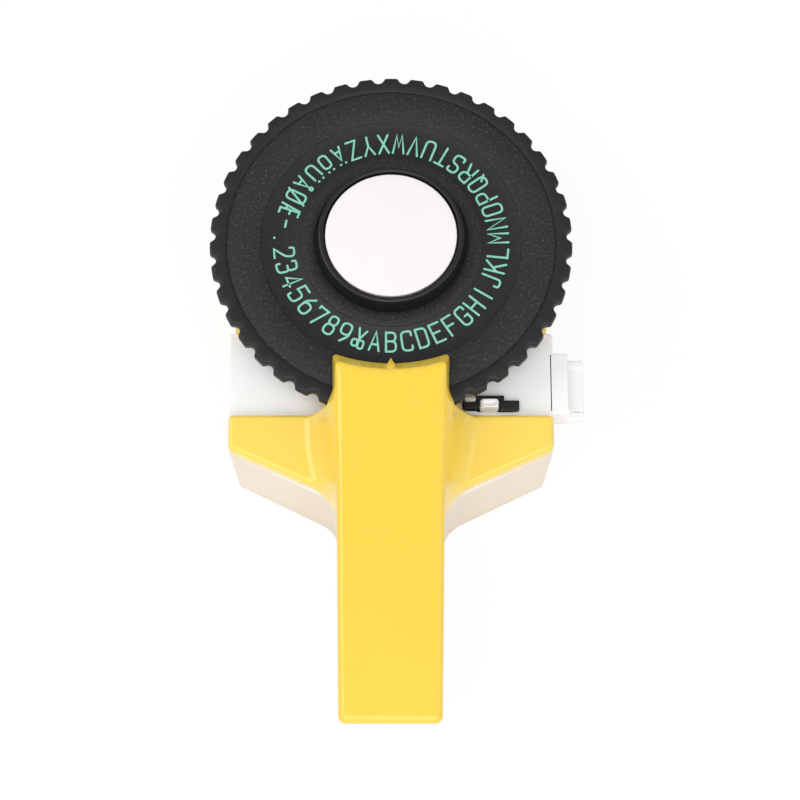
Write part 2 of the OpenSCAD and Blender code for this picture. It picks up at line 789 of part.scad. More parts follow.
module lower_case() {
    inner = inset(case_plan, wall);
    color(WHITE) difference() {
        union() {
            difference() {
                plan_block(case_plan, base_t, deck_z);
                // Room under the deck, open at the seam
                plan_block(case_room(inner), base_t - 1, deck_z - deck_t);
            }
            intersection() {
                plan_block(case_plan, bed_z - bed_t, bed_z);
                box([-far, -wing_back - 1, 0], [far, 0, far]);
            }
            for (s = [-1, 1]) {
                translate([s * case_screw_at[0][0], case_screw_at[0][1], 0])
                    disc(boss_r, base_t, bed_z - bed_t + eps);
                translate([s * case_screw_at[1][0], case_screw_at[1][1], 0])
                    disc(boss_r, base_t, deck_z - deck_t + eps);
                translate([s * chassis_rear_post[0], chassis_rear_post[1], 0])
                    disc(post_r, chassis_top_z, bed_z - bed_t + eps);
            }
        }
        disc(drum_room_r, chassis_top_z - 1, far);
        for (s = [-1, 1]) {
            for (p = case_screw_at)
                translate([s * p[0], p[1], 0]) disc(screw_r, base_t - 1, base_t + case_screw_l + 1);
            translate([s * chassis_rear_post[0], chassis_rear_post[1], 0])
                disc(chassis_screw_r, chassis_top_z - 1, bed_z - 0.3);
        }
        for (back = handle_screw_back)
            translate([0, -back, 0]) disc(screw_r + screw_fit, deck_z - deck_t - 1, deck_z + 1);
        // Tape channel through both side walls
        box([-far, -tape_back - slot_w / 2, bed_z], [far, -tape_back + slot_w / 2, deck_z - deck_t]);
        // Slots for the feed slider and for the crank below it
        box([slider_slot_l, -slot_out_back, deck_z - deck_t - 1], [slider_slot_r, -slot_in_back, deck_z + 1]);
        box([crank_x - crank_tip_r - 0.5, -crank_end_back - run_gap, bed_z - bed_t - 1],
            [crank_x + feed_travel + crank_tip_r, -crank_back + run_gap, bed_z + 1]);
        box([crank_x - crank_tip_r - 0.5, -crank_end_back - crank_slot_gap, deck_z - deck_t - 1],
            [crank_x + feed_travel + crank_tip_r + 0.5, -crank_back + crank_slot_gap, deck_z + 1]);
    }
}

// Inner plan of the case, carried past the seam and the lever's mouth
function case_room(inner) =
    [for (c = inner) [
        c[0],
        c[1] > -seam_back - 10 ? -seam_back + 1 : c[1] < -shoulder_back - 4 ? c[1] - over : c[1],
        c[2]]];

module base_plate() {
    color(WHITE) difference() {
        plan_block(case_plan, 0, base_t);
        for (s = [-1, 1]) for (p = case_screw_at) translate([s * p[0], p[1], 0]) {
            disc(screw_r + screw_fit, -1, base_t + 1);
            disc(screw_head_r + screw_fit, -1, screw_head_t - 0.4);
        }
    }
}

module case_screws() {
    color(STEEL) for (s = [-1, 1]) for (p = case_screw_at)
        screw_up([s * p[0], p[1]], screw_r, screw_head_t - 0.4, base_t + case_screw_l,
                 screw_head_r, screw_head_t - 0.6);
}

module tape_chute() {
    x0 = case_hw;
    x1 = x0 + chute_l;
    y0 = -chute_in_back - chute_w;
    y1 = -chute_in_back;
    color(WHITE) difference() {
        union() {
            box([x0, y0, bed_z - 3.6], [x1, y1, deck_z]);
            box([x1 - eps, y0, bed_z - 2.4], [x1 + lip_l, y1, bed_z - 0.3]);
        }
        box([x0 - 1, -tape_back - slot_w / 2, bed_z],
            [x1 + 1, -tape_back + slot_w / 2, bed_z + channel_h - 0.4]);
        translate([x1, 0, bed_z - 0.3]) rotate([0, 12, 0])
            box([-0.2, -tape_back - slot_w / 2, 0], [lip_l + 2, -tape_back + slot_w / 2, 3]);
    }
}

// Handle

module upper_shell() {
    color(YELLOW) difference() {
        union() {
            difference() {
                shell_outside();
                shell_hollow();
            }
            for (back = handle_screw_back)
                translate([0, -back, 0]) disc(boss_r, deck_z, bar_z(back) - wall + eps);
            for (back = grip_screw_back)
                translate([0, -back, 0]) disc(boss_r, deck_z + grip_t, bar_z(back) - wall + eps);
            for (s = [-1, 1])
                translate([s * anvil_screw_x, -anvil_screw_back, 0])
                    disc(boss_r, anvil_plate_z + anvil_t, bar_z(anvil_screw_back) - wall + eps);
        }
        // Room for the dial under the nose, and the anvil's seat above it
        disc(dial_r + dial_room, dial_low_z - dial_room, dial_z + run_gap);
        disc(drum_room_r, 0, dial_z);
        box([-anvil_hw - 0.1, -anvil_step_back - anvil_t - 0.1, anvil_low_z - eps],
            [anvil_hw + 0.1, -anvil_front_back + 0.1, anvil_low_z + anvil_t]);
        for (back = handle_screw_back)
            translate([0, -back, 0]) disc(screw_r, deck_z - 1, handle_screw_top + 0.5);
        for (back = grip_screw_back)
            translate([0, -back, 0]) disc(screw_r, deck_z, handle_screw_top);
        for (s = [-1, 1])
            translate([s * anvil_screw_x, -anvil_screw_back, 0])
                disc(screw_r, anvil_plate_z, anvil_plate_z + anvil_t + anvil_screw_l + 0.4);
    }
}

module bar_solid() {
    intersection() {
        plan_block(bar_plan, deck_z, far);
        side_block(bar_side, far);
    }
}

module shell_outside() {
    difference() {
        union() {
            plan_block(shell_plan_low(), deck_z, wing_top_z);
            bar_solid();
            intersection() {
                plan_block(shell_plan_low(), deck_z, far);
                for (s = [0, 1]) mirror([s, 0, 0]) wing_cove();
            }
        }
        // Bevelled front arc of the nose
        disc(nose_r, deck_z - 1, dial_z + run_gap + eps);
        translate([0, 0, dial_z + run_gap])
            cylinder(r1 = nose_r, r2 = nose_r + nose_bevel * 2, h = 2 * (nose_h - run_gap));
    }
    nose_pointer();
}

// The plan of wings and bar below the dial starts at the wings' front edge
function shell_plan_low() =
    [for (c = shell_plan)
        c[1] > -nose_back - 1 ? [c[0], -drum_r * cos(asin(bar_front_w / 2 / drum_r)) + 1, 0] : c];

// The hollow blend that carries a wing up to the bar's side
module wing_cove() {
    length = shoulder_back - wing_back + 8;
    taper = atan((bar_hw(wing_back) - bar_hw(shoulder_back)) / (shoulder_back - wing_back));
    translate([bar_hw(wing_back), -wing_back + 4, wing_top_z]) rotate(-taper) difference() {
        translate([-1, -length, -1]) cube([cove_r + 1, length, cove_r + 1]);
        translate([cove_r, 1, cove_r]) rotate([90, 0, 0]) cylinder(r = cove_r, h = length + 2);
        translate([cove_r, -length - 1, -2]) cube([5, length + 2, cove_r + 5]);
    }
}

module nose_pointer() {
    base_back = nose_r + nose_bevel + 0.6;
    tip_back = nose_r - 1.2;
    translate([0, 0, dial_z + run_gap + 0.3]) linear_extrude(height = nose_h - run_gap - 0.6)
        polygon([[0, -tip_back], [-pointer_w / 2, -tip_back - 2.6], [-pointer_w / 2, -base_back],
                 [pointer_w / 2, -base_back], [pointer_w / 2, -tip_back - 2.6]]);
}

module shell_hollow() {
    inner = inset(shell_plan, wall);
    // Under the wings
    intersection() {
        plan_block(inner, deck_z - 1, wing_top_z - wall);
        box([-far, -far, 0], [far, -wing_back - wall, far]);
    }
    // Inside the bar, behind the dial
    intersection() {
        plan_block(inset(bar_plan, wall), deck_z - 1, far);
        translate([0, 0, -wall]) side_block(bar_side_hollow(), far);
        box([-far, -far, 0], [far, -anvil_step_back, far]);
    }
}

// The bar's side view without its end wall
function bar_side_hollow() =
    [[-anvil_step_back + 1, deck_z - 1], [-anvil_step_back + 1, bar_z(anvil_step_back - 1)],
     [-bar_back + wall + end_undercut, bar_z(bar_back - wall - end_undercut)],
     [-bar_back + wall + end_undercut, deck_z - 1]];

module handle_screws() {
    color(STEEL) for (back = handle_screw_back)
        screw_up([0, -back], screw_r, deck_z - deck_t, handle_screw_top, screw_head_r, screw_head_t);
}

module grip_plate() {
    grip_plan = both_sides([
        [-bar_hw(case_back) + wall + 0.1, -case_back - 0.3, 0],
        [-bar_hw(bar_back) + wall + 0.1, -bar_back + wall + end_undercut + 0.1, 0]]);
    color(YELLOW) difference() {
        plan_block(grip_plan, deck_z, deck_z + grip_t);
        for (back = grip_screw_back) translate([0, -back, 0]) {
            disc(screw_r + screw_fit, deck_z - 1, deck_z + grip_t + 1);
            disc(screw_head_r + screw_fit, deck_z - 1, deck_z + screw_head_t - 0.4);
        }
    }
}

module grip_screws() {
    color(STEEL) for (back = grip_screw_back)
        screw_up([0, -back], screw_r, deck_z + screw_head_t - 0.4, handle_screw_top - 0.5, screw_head_r,
                 screw_head_t - 0.5);
}

module anvil() {
    color(STEEL) difference() {
        union() {
            box([-anvil_hw, -anvil_step_back - anvil_t, anvil_low_z],
                [anvil_hw, -anvil_front_back, anvil_low_z + anvil_t]);
            box([-anvil_hw, -anvil_step_back - anvil_t, anvil_plate_z],
                [anvil_hw, -anvil_step_back, anvil_low_z + anvil_t]);
            box([-anvil_hw, -anvil_rear_back, anvil_plate_z],
                [anvil_hw, -anvil_step_back, anvil_plate_z + anvil_t]);
        }
        for (s = [-1, 1])
            translate([s * anvil_screw_x, -anvil_screw_back, 0])
                disc(screw_r + screw_fit, anvil_plate_z - 1, anvil_plate_z + anvil_t + 1);
    }
}

module anvil_screws() {
    color(STEEL) for (s = [-1, 1])
        screw_up([s * anvil_screw_x, -anvil_screw_back], screw_r, anvil_plate_z,
                 anvil_plate_z + anvil_t + anvil_screw_l, screw_head_r, screw_head_t);
}

// Lever and hammer

module trigger_lever() {
    color(WHITE) difference() {
        union() {
            intersection() {
                side_block(lever_side, far);
                union() {
                    box([-lever_hw, -lever_neck_back, 0], [lever_hw, 0, far]);
                    plan_block([
                        [-lever_grip_w / 2, -lever_back, 3], [lever_grip_w / 2, -lever_back, 3],
                        [lever_grip_w / 2, -lever_neck_back + 4, 2],
                        [-lever_grip_w / 2, -lever_neck_back + 4, 2]],
                        0, far);
                }
            }
            box([lever_hw - 1, -crank_back - tab_l, lever_low_z + 3], [tab_x, -crank_back, tab_z]);
        }
        rod_x([0, -pivot_back, pivot_z], lever_pin_r + pin_fit, far);
    }
}

module lever_pin() {
    color(STEEL) rod_x([0, -pivot_back, pivot_z], lever_pin_r, pin_half_l);
}

module lever_clips() {
    color(STEEL) for (s = [-1, 1]) difference() {
        rod_x([s * (ear_out_x + 0.1 + clip_t / 2), -pivot_back, pivot_z], clip_r, clip_t / 2);
        rod_x([s * (ear_out_x + 0.1 + clip_t / 2), -pivot_back, pivot_z], lever_pin_r, clip_t);
    }
}

spring_low_z = lever_top_z + 0.1;
spring_l = deck_z - deck_t - spring_low_z;

module lever_spring() {
    color(STEEL) translate([0, -spring_back, spring_low_z])
        coil(spring_d, spring_wire, spring_l, spring_turns);
}

module hammer() {
    color(STEEL) union() {
        box([-hammer_w / 2, -hammer_back - hammer_l / 2, hammer_low_z + hammer_foot_h],
            [hammer_w / 2, -hammer_back + hammer_l / 2, hammer_top_z]);
        // Rounded foot that rolls on the lever
        rod_x([0, -hammer_back, hammer_low_z + hammer_foot_r], hammer_foot_r, hammer_w / 2);
        box([-hammer_w / 2, -hammer_back - hammer_foot_r, hammer_low_z + hammer_foot_r],
            [hammer_w / 2, -hammer_back + hammer_foot_r, hammer_low_z + hammer_foot_h + eps]);
    }
}

// Tape feed

module feed_crank() {
    neck_w = 3;
    color(WHITE) difference() {
        union() {
            rod_y([crank_x, crank_z], crank_boss_r, -crank_end_back, -crank_back);
            rod_y([crank_x, crank_tip_z], crank_tip_r, -crank_end_back, -crank_back);
            box([crank_x - neck_w / 2, -crank_end_back, crank_z],
                [crank_x + neck_w / 2, -crank_back, crank_tip_z]);
            box([tab_x - crank_overhang, -crank_end_back, crank_arm_low_z],
                [crank_x, -crank_back, crank_arm_low_z + crank_arm_t]);
        }
        rod_y([crank_x, crank_z], crank_pin_r + pin_fit, -far, far);
    }
}

module crank_pin() {
    color(STEEL) rod_y([crank_x, crank_z], crank_pin_r, -crank_ear_rear - crank_ear_t, -crank_ear_front);
}

feed_wire = 0.6;
feed_turns = 2;
feed_spring_d = 2 * crank_pin_r + 2.4;
feed_spring_l = crank_back - crank_ear_front - crank_ear_t - 0.2;

module feed_spring() {
    color(STEEL) translate([crank_x, -crank_back + 0.1, crank_z]) rotate([-90, 0, 0])
        coil(feed_spring_d, feed_wire, feed_spring_l, feed_turns);
}

module feed_slider() {
    pocket = crank_tip_r + tip_gap;
    color(BLACK) difference() {
        union() {
            // Left arm, bridge in front of the crank, and right arm with its web
            box([slider_left_x, -slider_front_back - slider_leg_l, slider_low_z],
                [crank_x, -slider_front_back, slider_top_z]);
            box([crank_x - eps, -crank_back + slider_bridge_gap, slider_low_z],
                [crank_x + pocket + slider_web_w, -slider_front_back, slider_top_z]);
            box([crank_x, -slider_rear_back, slider_low_z],
                [slider_right_x, -slider_arm_back, slider_top_z]);
            box([crank_x, -slider_rear_back + 1, slider_low_z],
                [crank_x + pocket + slider_web_w, -slider_front_back - eps, slider_top_z]);
            // Left finger down to the tape, with its foot under the deck
            box([slider_left_x, -slider_front_back - slider_leg_l, foot_top_z - foot_t],
                [slider_left_x + slider_finger_w, -slot_in_back - slot_gap, slider_low_z + eps]);
            box([slider_left_x, -slider_front_back - slider_leg_l, foot_top_z - foot_t],
                [slider_left_x + slider_finger_w, -pad_front_back, foot_top_z]);
        }
        box([crank_x - pocket, -far, slider_low_z - 1],
            [crank_x + pocket, -crank_back + slider_bridge_gap, slider_top_z + 1]);
    }
}

module feed_pad() {
    color(RUBBER) box([slider_left_x + 0.3, -pad_front_back - 3.5, foot_top_z - foot_t - pad_t],
                      [slider_left_x + slider_finger_w - 0.3, -pad_front_back - 0.3, foot_top_z - foot_t]);
}

module slider_rivet() {
    color(GREY) intersection() {
        rod_x([slider_left_x + rivet_half_l + 0.2, -slider_front_back - rivet_r - 0.1, slider_top_z],
              rivet_r, rivet_half_l);
        box([0, -far, slider_top_z], [far, 0, far]);
    }
}

// Tape bay

module tape_cover() {
    color(YELLOW) difference() {
        union() {
            translate([0, bay_y, 0]) disc(cover_r, 0, base_t);
            rod_x([0, hinge_y, hinge_z], hinge_r, hinge_hw);
            box([-hinge_hw, bay_y + cover_r - hinge_tongue_l, 0.1], [hinge_hw, hinge_y, base_t]);
            translate([0, bay_y, 0]) ring(spindle_r - wall, spindle_r, base_t - eps, base_t + spindle_h);
            translate([0, bay_y, 0]) ring(spindle_r - wall, core_r + 1.5, base_t - eps, roll_z);
        }
        rod_x([0, hinge_y, hinge_z], hinge_pin_r + pin_fit, far);
        translate([0, bay_y - cover_r, -finger_dip_r + 0.9]) sphere(r = finger_dip_r);
    }
}

module cover_pin() {
    color(STEEL) rod_x([0, hinge_y, hinge_z], hinge_pin_r, hinge_hw + 0.2 + hinge_eye_l);
}

module tape_roll() {
    color(BLUE) translate([0, bay_y, 0]) ring(core_r, roll_r, roll_z, roll_z + tape_w);
}

echo(lever_spring_gap = coil_gap((spring_d - spring_wire) / 2, spring_l, spring_wire, spring_turns));
echo(feed_spring_gap = coil_gap((feed_spring_d - feed_wire) / 2, feed_spring_l, feed_wire, feed_turns));
echo(crank_lean = crank_lean);

dial_plate();
dial_knob();
badge_disc();
hub_bush();
upper_die_ring();
lower_die_ring();
die_screws();
cutter_blade();
dial_axle();
axle_washer();
axle_screw();
chassis();
chassis_screws();
detent_spring();
detent_rivet();
front_housing();
lower_case();
base_plate();
case_screws();
tape_chute();
upper_shell();
handle_screws();
grip_plate();
grip_screws();
anvil();
anvil_screws();
trigger_lever();
lever_pin();
lever_clips();
lever_spring();
hammer();
feed_crank();
crank_pin();
feed_spring();
feed_slider();
feed_pad();
slider_rivet();
tape_cover();
cover_pin();
tape_roll();
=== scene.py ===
"""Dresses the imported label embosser: mouldings, toothed dial with its characters, finishes and stage."""
import json
import math

import bpy
import numpy as np
from bpy.props import FloatProperty, FloatVectorProperty, IntProperty, PointerProperty
from bpy.types import Operator, Panel, PropertyGroup
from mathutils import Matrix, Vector


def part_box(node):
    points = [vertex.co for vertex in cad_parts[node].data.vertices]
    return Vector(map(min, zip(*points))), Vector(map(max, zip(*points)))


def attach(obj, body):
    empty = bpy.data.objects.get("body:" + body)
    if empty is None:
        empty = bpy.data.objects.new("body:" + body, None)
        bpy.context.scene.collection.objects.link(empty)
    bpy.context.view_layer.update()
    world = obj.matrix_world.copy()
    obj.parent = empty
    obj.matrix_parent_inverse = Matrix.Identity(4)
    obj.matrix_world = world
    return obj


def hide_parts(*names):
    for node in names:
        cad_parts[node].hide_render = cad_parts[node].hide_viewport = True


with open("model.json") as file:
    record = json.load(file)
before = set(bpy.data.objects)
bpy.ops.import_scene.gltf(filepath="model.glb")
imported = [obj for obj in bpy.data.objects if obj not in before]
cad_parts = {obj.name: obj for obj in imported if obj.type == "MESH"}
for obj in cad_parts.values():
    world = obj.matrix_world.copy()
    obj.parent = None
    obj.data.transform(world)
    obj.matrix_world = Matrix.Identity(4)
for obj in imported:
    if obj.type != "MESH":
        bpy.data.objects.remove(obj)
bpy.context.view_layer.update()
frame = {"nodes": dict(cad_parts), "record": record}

bl_info = {
    "name": "Label Embosser",
    "version": (1, 0, 0),
    "blender": (4, 5, 0),
    "location": "View3D > Sidebar > Embosser",
    "description": "Builds the visible pieces of a hand label embosser round its packed frame",
    "category": "Object",
}

# Lengths in the piece functions are millimetres, and meshes are made in metres
MM = 0.001

# Places that several pieces share
DECK = 27.0
CASE_HALF = 38.1
CASE_FRONT = -19.0
BASE_TOP = 2.0
WELL_RADIUS = 34.7
BAY_Y = 6.0
HINGE_YZ = (30.3, 1.6)
HINGE_RADIUS = 1.5
TAPE_Y = -31.5
TAPE_HALF = 5.5
TAPE_LOW = 22.6

# Texture scales, per metre
CLOUD_SCALE = 45.0
GRIT_SCALE = 1500.0


def node_box(node):
    """A CAD node's lowest and highest corners, in millimetres."""
    return [tuple(c / MM for c in corner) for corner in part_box(node)]


def length(name, text, millimetres):
    """A length property with its default given in millimetres."""
    return FloatProperty(
        name=name, description=text, default=millimetres * MM, unit="LENGTH", precision=5)


def colour(name, text, rgb):
    """A colour property."""
    return FloatVectorProperty(
        name=name, description=text, default=rgb, subtype="COLOR", min=0.0, max=1.0)


class EmbosserDialSizes(PropertyGroup):
    """Sizes of the dial, its characters and its knob."""

    radius: length("Dial radius", "Radius over the teeth", 42.7)
    face: length("Dial face", "Height of the dial's face", 38.0)
    thickness: length("Dial thickness", "Thickness of the dial plate", 2.5)
    teeth: IntProperty(name="Teeth", description="Number of teeth and of characters", default=43, min=12)
    notch_depth: length("Notch depth", "Depth of a notch between two teeth", 1.3)
    notch_width: length("Notch width", "Width of a notch at the rim", 3.0)
    groove: length("Groove radius", "Radius of the fine groove inside the teeth", 38.7)
    band_out: length("Band outer radius", "Outer radius of the character band", 30.7)
    band_in: length("Band inner radius", "Inner radius of the character band", 21.5)
    band_depth: length("Band depth", "Depth of the character band", 0.3)
    letter_foot: length("Character foot radius", "Radius at the feet of the characters", 27.6)
    letter_height: length("Character height", "Height of a character", 4.7)
    letter_width: length("Character width", "Width of a character", 2.3)
    stroke: length("Stroke width", "Width of a character's stroke", 0.5)
    knob_radius: length("Knob radius", "Radius of the knob at its foot", 17.8)
    disc_radius: length("Disc radius", "Radius of the pale disc in the knob", 15.4)


class EmbosserBodySizes(PropertyGroup):
    """Sizes of the mouldings."""

    bar_edge: length("Bar edge", "Rounding of the bar's upper edges", 1.7)
    cove_width: length("Cove width", "Width of the hollow blend from wing to bar", 5.4)
    cove_height: length("Cove height", "Height of the hollow blend from wing to bar", 10.5)
    wing_edge: length("Wing edge", "Rounding of the wings' upper edges", 1.1)
    nose_edge: length("Nose edge", "Rounding of the nose's front corners", 1.2)
    flare: length("Flare", "Spread of the nose's sides towards the wings", 1.3)
    case_draft: FloatProperty(
        name="Case draft", description="Inward slope of the case walls, run over rise", default=0.056)
    case_edge: length("Case edge", "Rounding of the case's edges", 0.3)
    tub_edge: length("Tub edge", "Rounding of the tub's foot", 1.4)
    lever_edge: length("Lever edge", "Rounding of the lever", 1.8)


class EmbosserColours(PropertyGroup):
    """Colours of the finishes."""

    yellow: colour("Yellow", "Handle and tub", (0.95, 0.645, 0.062))
    # Painted light: a lighter yellow for the wings and the bar's foot, standing in for the light they catch.
    painted_light_yellow: colour("Pale yellow", "Thin edges of the yellow moulding", (0.97, 0.70, 0.115))
    white: colour("White", "Case, chute and lever", (0.97, 0.97, 0.97))
    # Painted reflection: the warm bounce of the yellow wings on the case's white walls, given as their
    # colour.
    painted_bounce_cream: colour("Cream", "Walls of the case below its deck", (0.85, 0.735, 0.60))
    disc: colour("Disc", "Pale disc in the knob", (0.92, 0.87, 0.87))
    charcoal: colour("Charcoal", "Dial and feed piece", (0.0185, 0.0170, 0.0195))
    mint: colour("Mint", "Characters", (0.24, 0.62, 0.49))
    grey: colour("Grey", "Dome on the feed piece", (0.52, 0.52, 0.50))
    steel: colour("Steel", "Screws, pins and springs", (0.60, 0.61, 0.63))
    brass: colour("Brass", "Bush and rivet", (0.70, 0.52, 0.22))
    rubber: colour("Rubber", "Feed pad", (0.028, 0.028, 0.028))
    tape: colour("Tape", "Embossing tape", (0.03, 0.09, 0.34))
    floor: colour("Floor", "Floor under the embosser", (0.90, 0.90, 0.90))


# Shader maths


class Wire:
    """A shader socket that takes part in arithmetic: each sign adds one Math node."""

    def __init__(self, finish, socket):
        self.finish = finish
        self.socket = socket

    def joined(self, operation, first, second):
        """One Math node on two sockets or numbers."""
        return self.finish.node("ShaderNodeMath", {"operation": operation}, [first, second])

    def __add__(self, other):
        return self.joined("ADD", self, other)

    def __radd__(self, other):
        return self.joined("ADD", other, self)

    def __sub__(self, other):
        return self.joined("SUBTRACT", self, other)

    def __rsub__(self, other):
        return self.joined("SUBTRACT", other, self)

    def __mul__(self, other):
        return self.joined("MULTIPLY", self, other)

    def __rmul__(self, other):
        return self.joined("MULTIPLY", other, self)

    def __gt__(self, other):
        return self.joined("GREATER_THAN", self, other)

    def __lt__(self, other):
        return self.joined("LESS_THAN", self, other)


class Finish:
    """The nodes of one material or of the world."""

    def __init__(self, owner):
        owner.use_nodes = True
        self.owner = owner
        self.tree = owner.node_tree

    def node(self, kind, settings=None, sockets=(), output=0):
        """Adds a node: its type, its settings, then the values or links of its sockets."""
        made = self.tree.nodes.new(kind)
        for key, value in (settings or {}).items():
            setattr(made, key, value)
        pairs = sockets.items() if isinstance(sockets, dict) else enumerate(sockets)
        for key, value in pairs:
            self.feed(made.inputs[key], value)
        return Wire(self, made.outputs[output])

    def feed(self, socket, value):
        """Links a wire to a socket, or sets the socket's own value."""
        if isinstance(value, Wire):
            self.tree.links.new(value.socket, socket)
        else:
            socket.default_value = value

    def first(self, name):
        """The output of a node that the tree starts with."""
        return Wire(self, self.tree.nodes[name].outputs[0])

    def close(self, name, shader):
        """Links the last shader to the tree's output node."""
        self.feed(self.tree.nodes[name].inputs["Surface"], shader)

    def shade(self, **values):
        """Sets the surface shader's sockets, with spaces written as underscores."""
        surface = self.tree.nodes["Principled BSDF"]
        for key, value in values.items():
            self.feed(surface.inputs[key.replace("_", " ")], value)

    def place(self):
        """The place on the piece, in metres."""
        return self.node("ShaderNodeTexCoord", output="Object")

    def noise(self, where, scale, detail=2.0, roughness=0.5):
        """Even noise from 0 to 1 with its middle near 0.5."""
        return self.node("ShaderNodeTexNoise", {}, {
            "Vector": where, "Scale": scale, "Detail": detail, "Roughness": roughness})

    def blend(self, factor, first, second):
        """A colour between two colours."""
        return self.node("ShaderNodeMix", {"data_type": "RGBA"}, {0: factor, 6: first, 7: second}, 2)

    def span(self, value, low, high):
        """0 below low, 1 above high and a smooth step between."""
        return self.node(
            "ShaderNodeMapRange", {"interpolation_type": "SMOOTHSTEP"}, [value, low, high, 0.0, 1.0])

    def bump(self, height, distance):
        """The normal of a relief, with its depth in metres."""
        return self.node("ShaderNodeBump", {}, {"Strength": 1.0, "Distance": distance, "Height": height})

    def radius(self, where):
        """Distance from the dial's axis."""
        flat = self.node("ShaderNodeVectorMath", {"operation": "MULTIPLY"}, [where, (1.0, 1.0, 0.0)])
        return self.node("ShaderNodeVectorMath", {"operation": "LENGTH"}, [flat], "Value")


def new_finish(name):
    """The finish of a new material."""
    return Finish(bpy.data.materials.new(name))


def tinted(rgb, factor):
    """A colour times a number, as a socket value."""
    return (*[min(1.0, c * factor) for c in rgb], 1.0)


def moulded_finish(name, rgb, rough, peel, coat, foot=None):
    """Gloss plastic: faint cloud, uneven gloss, fine peel, and a paler foot (colour, low, high) if any, which
    is painted light: a lighter tone below the given heights.
    """
    f = new_finish(name)
    where = f.place()
    cloud = f.noise(where, CLOUD_SCALE)
    fine = f.noise(where, GRIT_SCALE, 3.0, 0.6)
    wave = f.noise(where, 210.0, 1.0)
    tone = f.blend(cloud, tinted(rgb, 0.975), tinted(rgb, 1.025))
    # Painted light: the foot's paler colour stands in for the extra light on the wings and the bar's lower
    # part.
    if foot:
        pale, low, high = foot
        height = f.node("ShaderNodeSeparateXYZ", {}, [where], "Z")
        tone = f.blend(f.span(height, low * MM, high * MM), (*pale, 1.0), tone)
    f.shade(
        Base_Color=tone,
        Roughness=rough + (fine - 0.5) * 0.06 + (cloud - 0.5) * 0.06,
        Normal=f.bump(wave * 0.9 + fine * 0.1, peel * MM),
        Coat_Weight=coat, Coat_Roughness=0.09, Specular_IOR_Level=0.45)
    return f.owner


def painted_bounce_finish(name, above, below, low, high, rough, peel):
    """Satin plastic that turns from one colour to another between two heights in millimetres; the lower
    colour is a painted reflection, the warm bounce of the yellow moulding above.
    """
    f = new_finish(name)
    where = f.place()
    height = f.node("ShaderNodeSeparateXYZ", {}, [where], "Z")
    cloud = f.noise(where, CLOUD_SCALE)
    fine = f.noise(where, GRIT_SCALE, 3.0, 0.6)
    tone = f.blend(f.span(height, low * MM, high * MM), (*below, 1.0), (*above, 1.0))
    f.shade(
        Base_Color=f.blend(cloud * 0.12, tone, (1.0, 0.99, 0.98, 1.0)),
        Roughness=rough + (fine - 0.5) * 0.10 + (cloud - 0.5) * 0.06,
        Normal=f.bump(fine, peel * MM))
    return f.owner


def grained_black(name, rgb, bands):
    """Charcoal plastic: spark-eroded grain inside the given bands of radius, satin outside them."""
    f = new_finish(name)
    where = f.place()
    radius = f.radius(where)
    grained = 0.0
    for low, high in bands:
        grained = (radius > low * MM) * (radius < high * MM) + grained
    grit = f.noise(where, GRIT_SCALE, 3.0, 0.7)
    specks = f.span(f.noise(where, GRIT_SCALE, 3.0, 0.65), 0.54, 0.72)
    cloud = f.noise(where, 60.0)
    mottle = cloud * 0.5 + f.span(grit, 0.35, 0.65) * 0.5
    plain = f.blend(mottle, tinted(rgb, 0.55), tinted(rgb, 0.85))
    rough = f.blend(mottle, tinted(rgb, 0.62), tinted(rgb, 1.05))
    tone = f.blend(grained, plain, rough)
    lit = f.blend(specks * grained * 0.8 + specks * 0.15, tone, tinted(rgb, 3.8))
    f.shade(
        Base_Color=lit,
        Roughness=0.47 + grained * 0.13 + (grit - 0.5) * 0.14,
        Normal=f.bump(grit * (grained * 0.9 + 0.1), 0.22 * MM),
        Specular_IOR_Level=0.42)
    return f.owner


def satin_black(name, rgb, rough=0.42):
    """Charcoal plastic with a very fine even texture."""
    f = new_finish(name)
    where = f.place()
    grit = f.noise(where, 3200.0, 2.0, 0.6)
    cloud = f.noise(where, 90.0)
    f.shade(
        Base_Color=f.blend(cloud, tinted(rgb, 0.85), tinted(rgb, 1.15)),
        Roughness=rough + (grit - 0.5) * 0.12,
        Normal=f.bump(grit, 0.035 * MM), Specular_IOR_Level=0.45)
    return f.owner


def printed_finish(name, rgb):
    """Ink of the characters, slightly uneven."""
    f = new_finish(name)
    where = f.place()
    cloud = f.noise(where, 1100.0, 3.0)
    f.shade(
        Base_Color=f.blend(cloud, tinted(rgb, 0.82), tinted(rgb, 1.2)),
        Roughness=0.45 + (cloud - 0.5) * 0.2,
        Normal=f.bump(cloud, 0.03 * MM))
    return f.owner


def metal_finish(name, rgb, rough):
    """Plated or turned metal with fine drawn lines."""
    f = new_finish(name)
    where = f.place()
    drawn = f.node("ShaderNodeVectorMath", {"operation": "MULTIPLY"}, [where, (1.0, 1.0, 9.0)])
    lines = f.noise(drawn, 900.0)
    f.shade(
        Base_Color=f.blend(lines, tinted(rgb, 0.88), tinted(rgb, 1.08)),
        Metallic=1.0,
        Roughness=rough + (lines - 0.5) * 0.2,
        Normal=f.bump(lines, 0.02 * MM))
    return f.owner


# Fields: signed distances in millimetres, negative inside


def round_both(a, b, r):
    """What lies in both fields, with the edge between them rounded."""
    corner = np.hypot(np.maximum(a + r, 0.0), np.maximum(b + r, 0.0))
    return np.minimum(np.maximum(a + r, b + r), 0.0) + corner - r


def round_either(a, b, r):
    """What lies in either field, with a hollow blend between them."""
    return np.maximum(np.minimum(a, b), r) - np.hypot(np.maximum(r - a, 0.0), np.maximum(r - b, 0.0))


def carve(a, b, r=0.2):
    """The first field without the second, with a rounded rim."""
    return round_both(a, -b, r)


def between(value, low, high):
    """What lies between two planes."""
    return np.maximum(low - value, value - high)


def ease(value, start, run):
    """0 before the start, 1 after the run and a smooth step between."""
    t = np.clip((value - start) / run, 0.0, 1.0)
    return t * t * (3 - 2 * t)


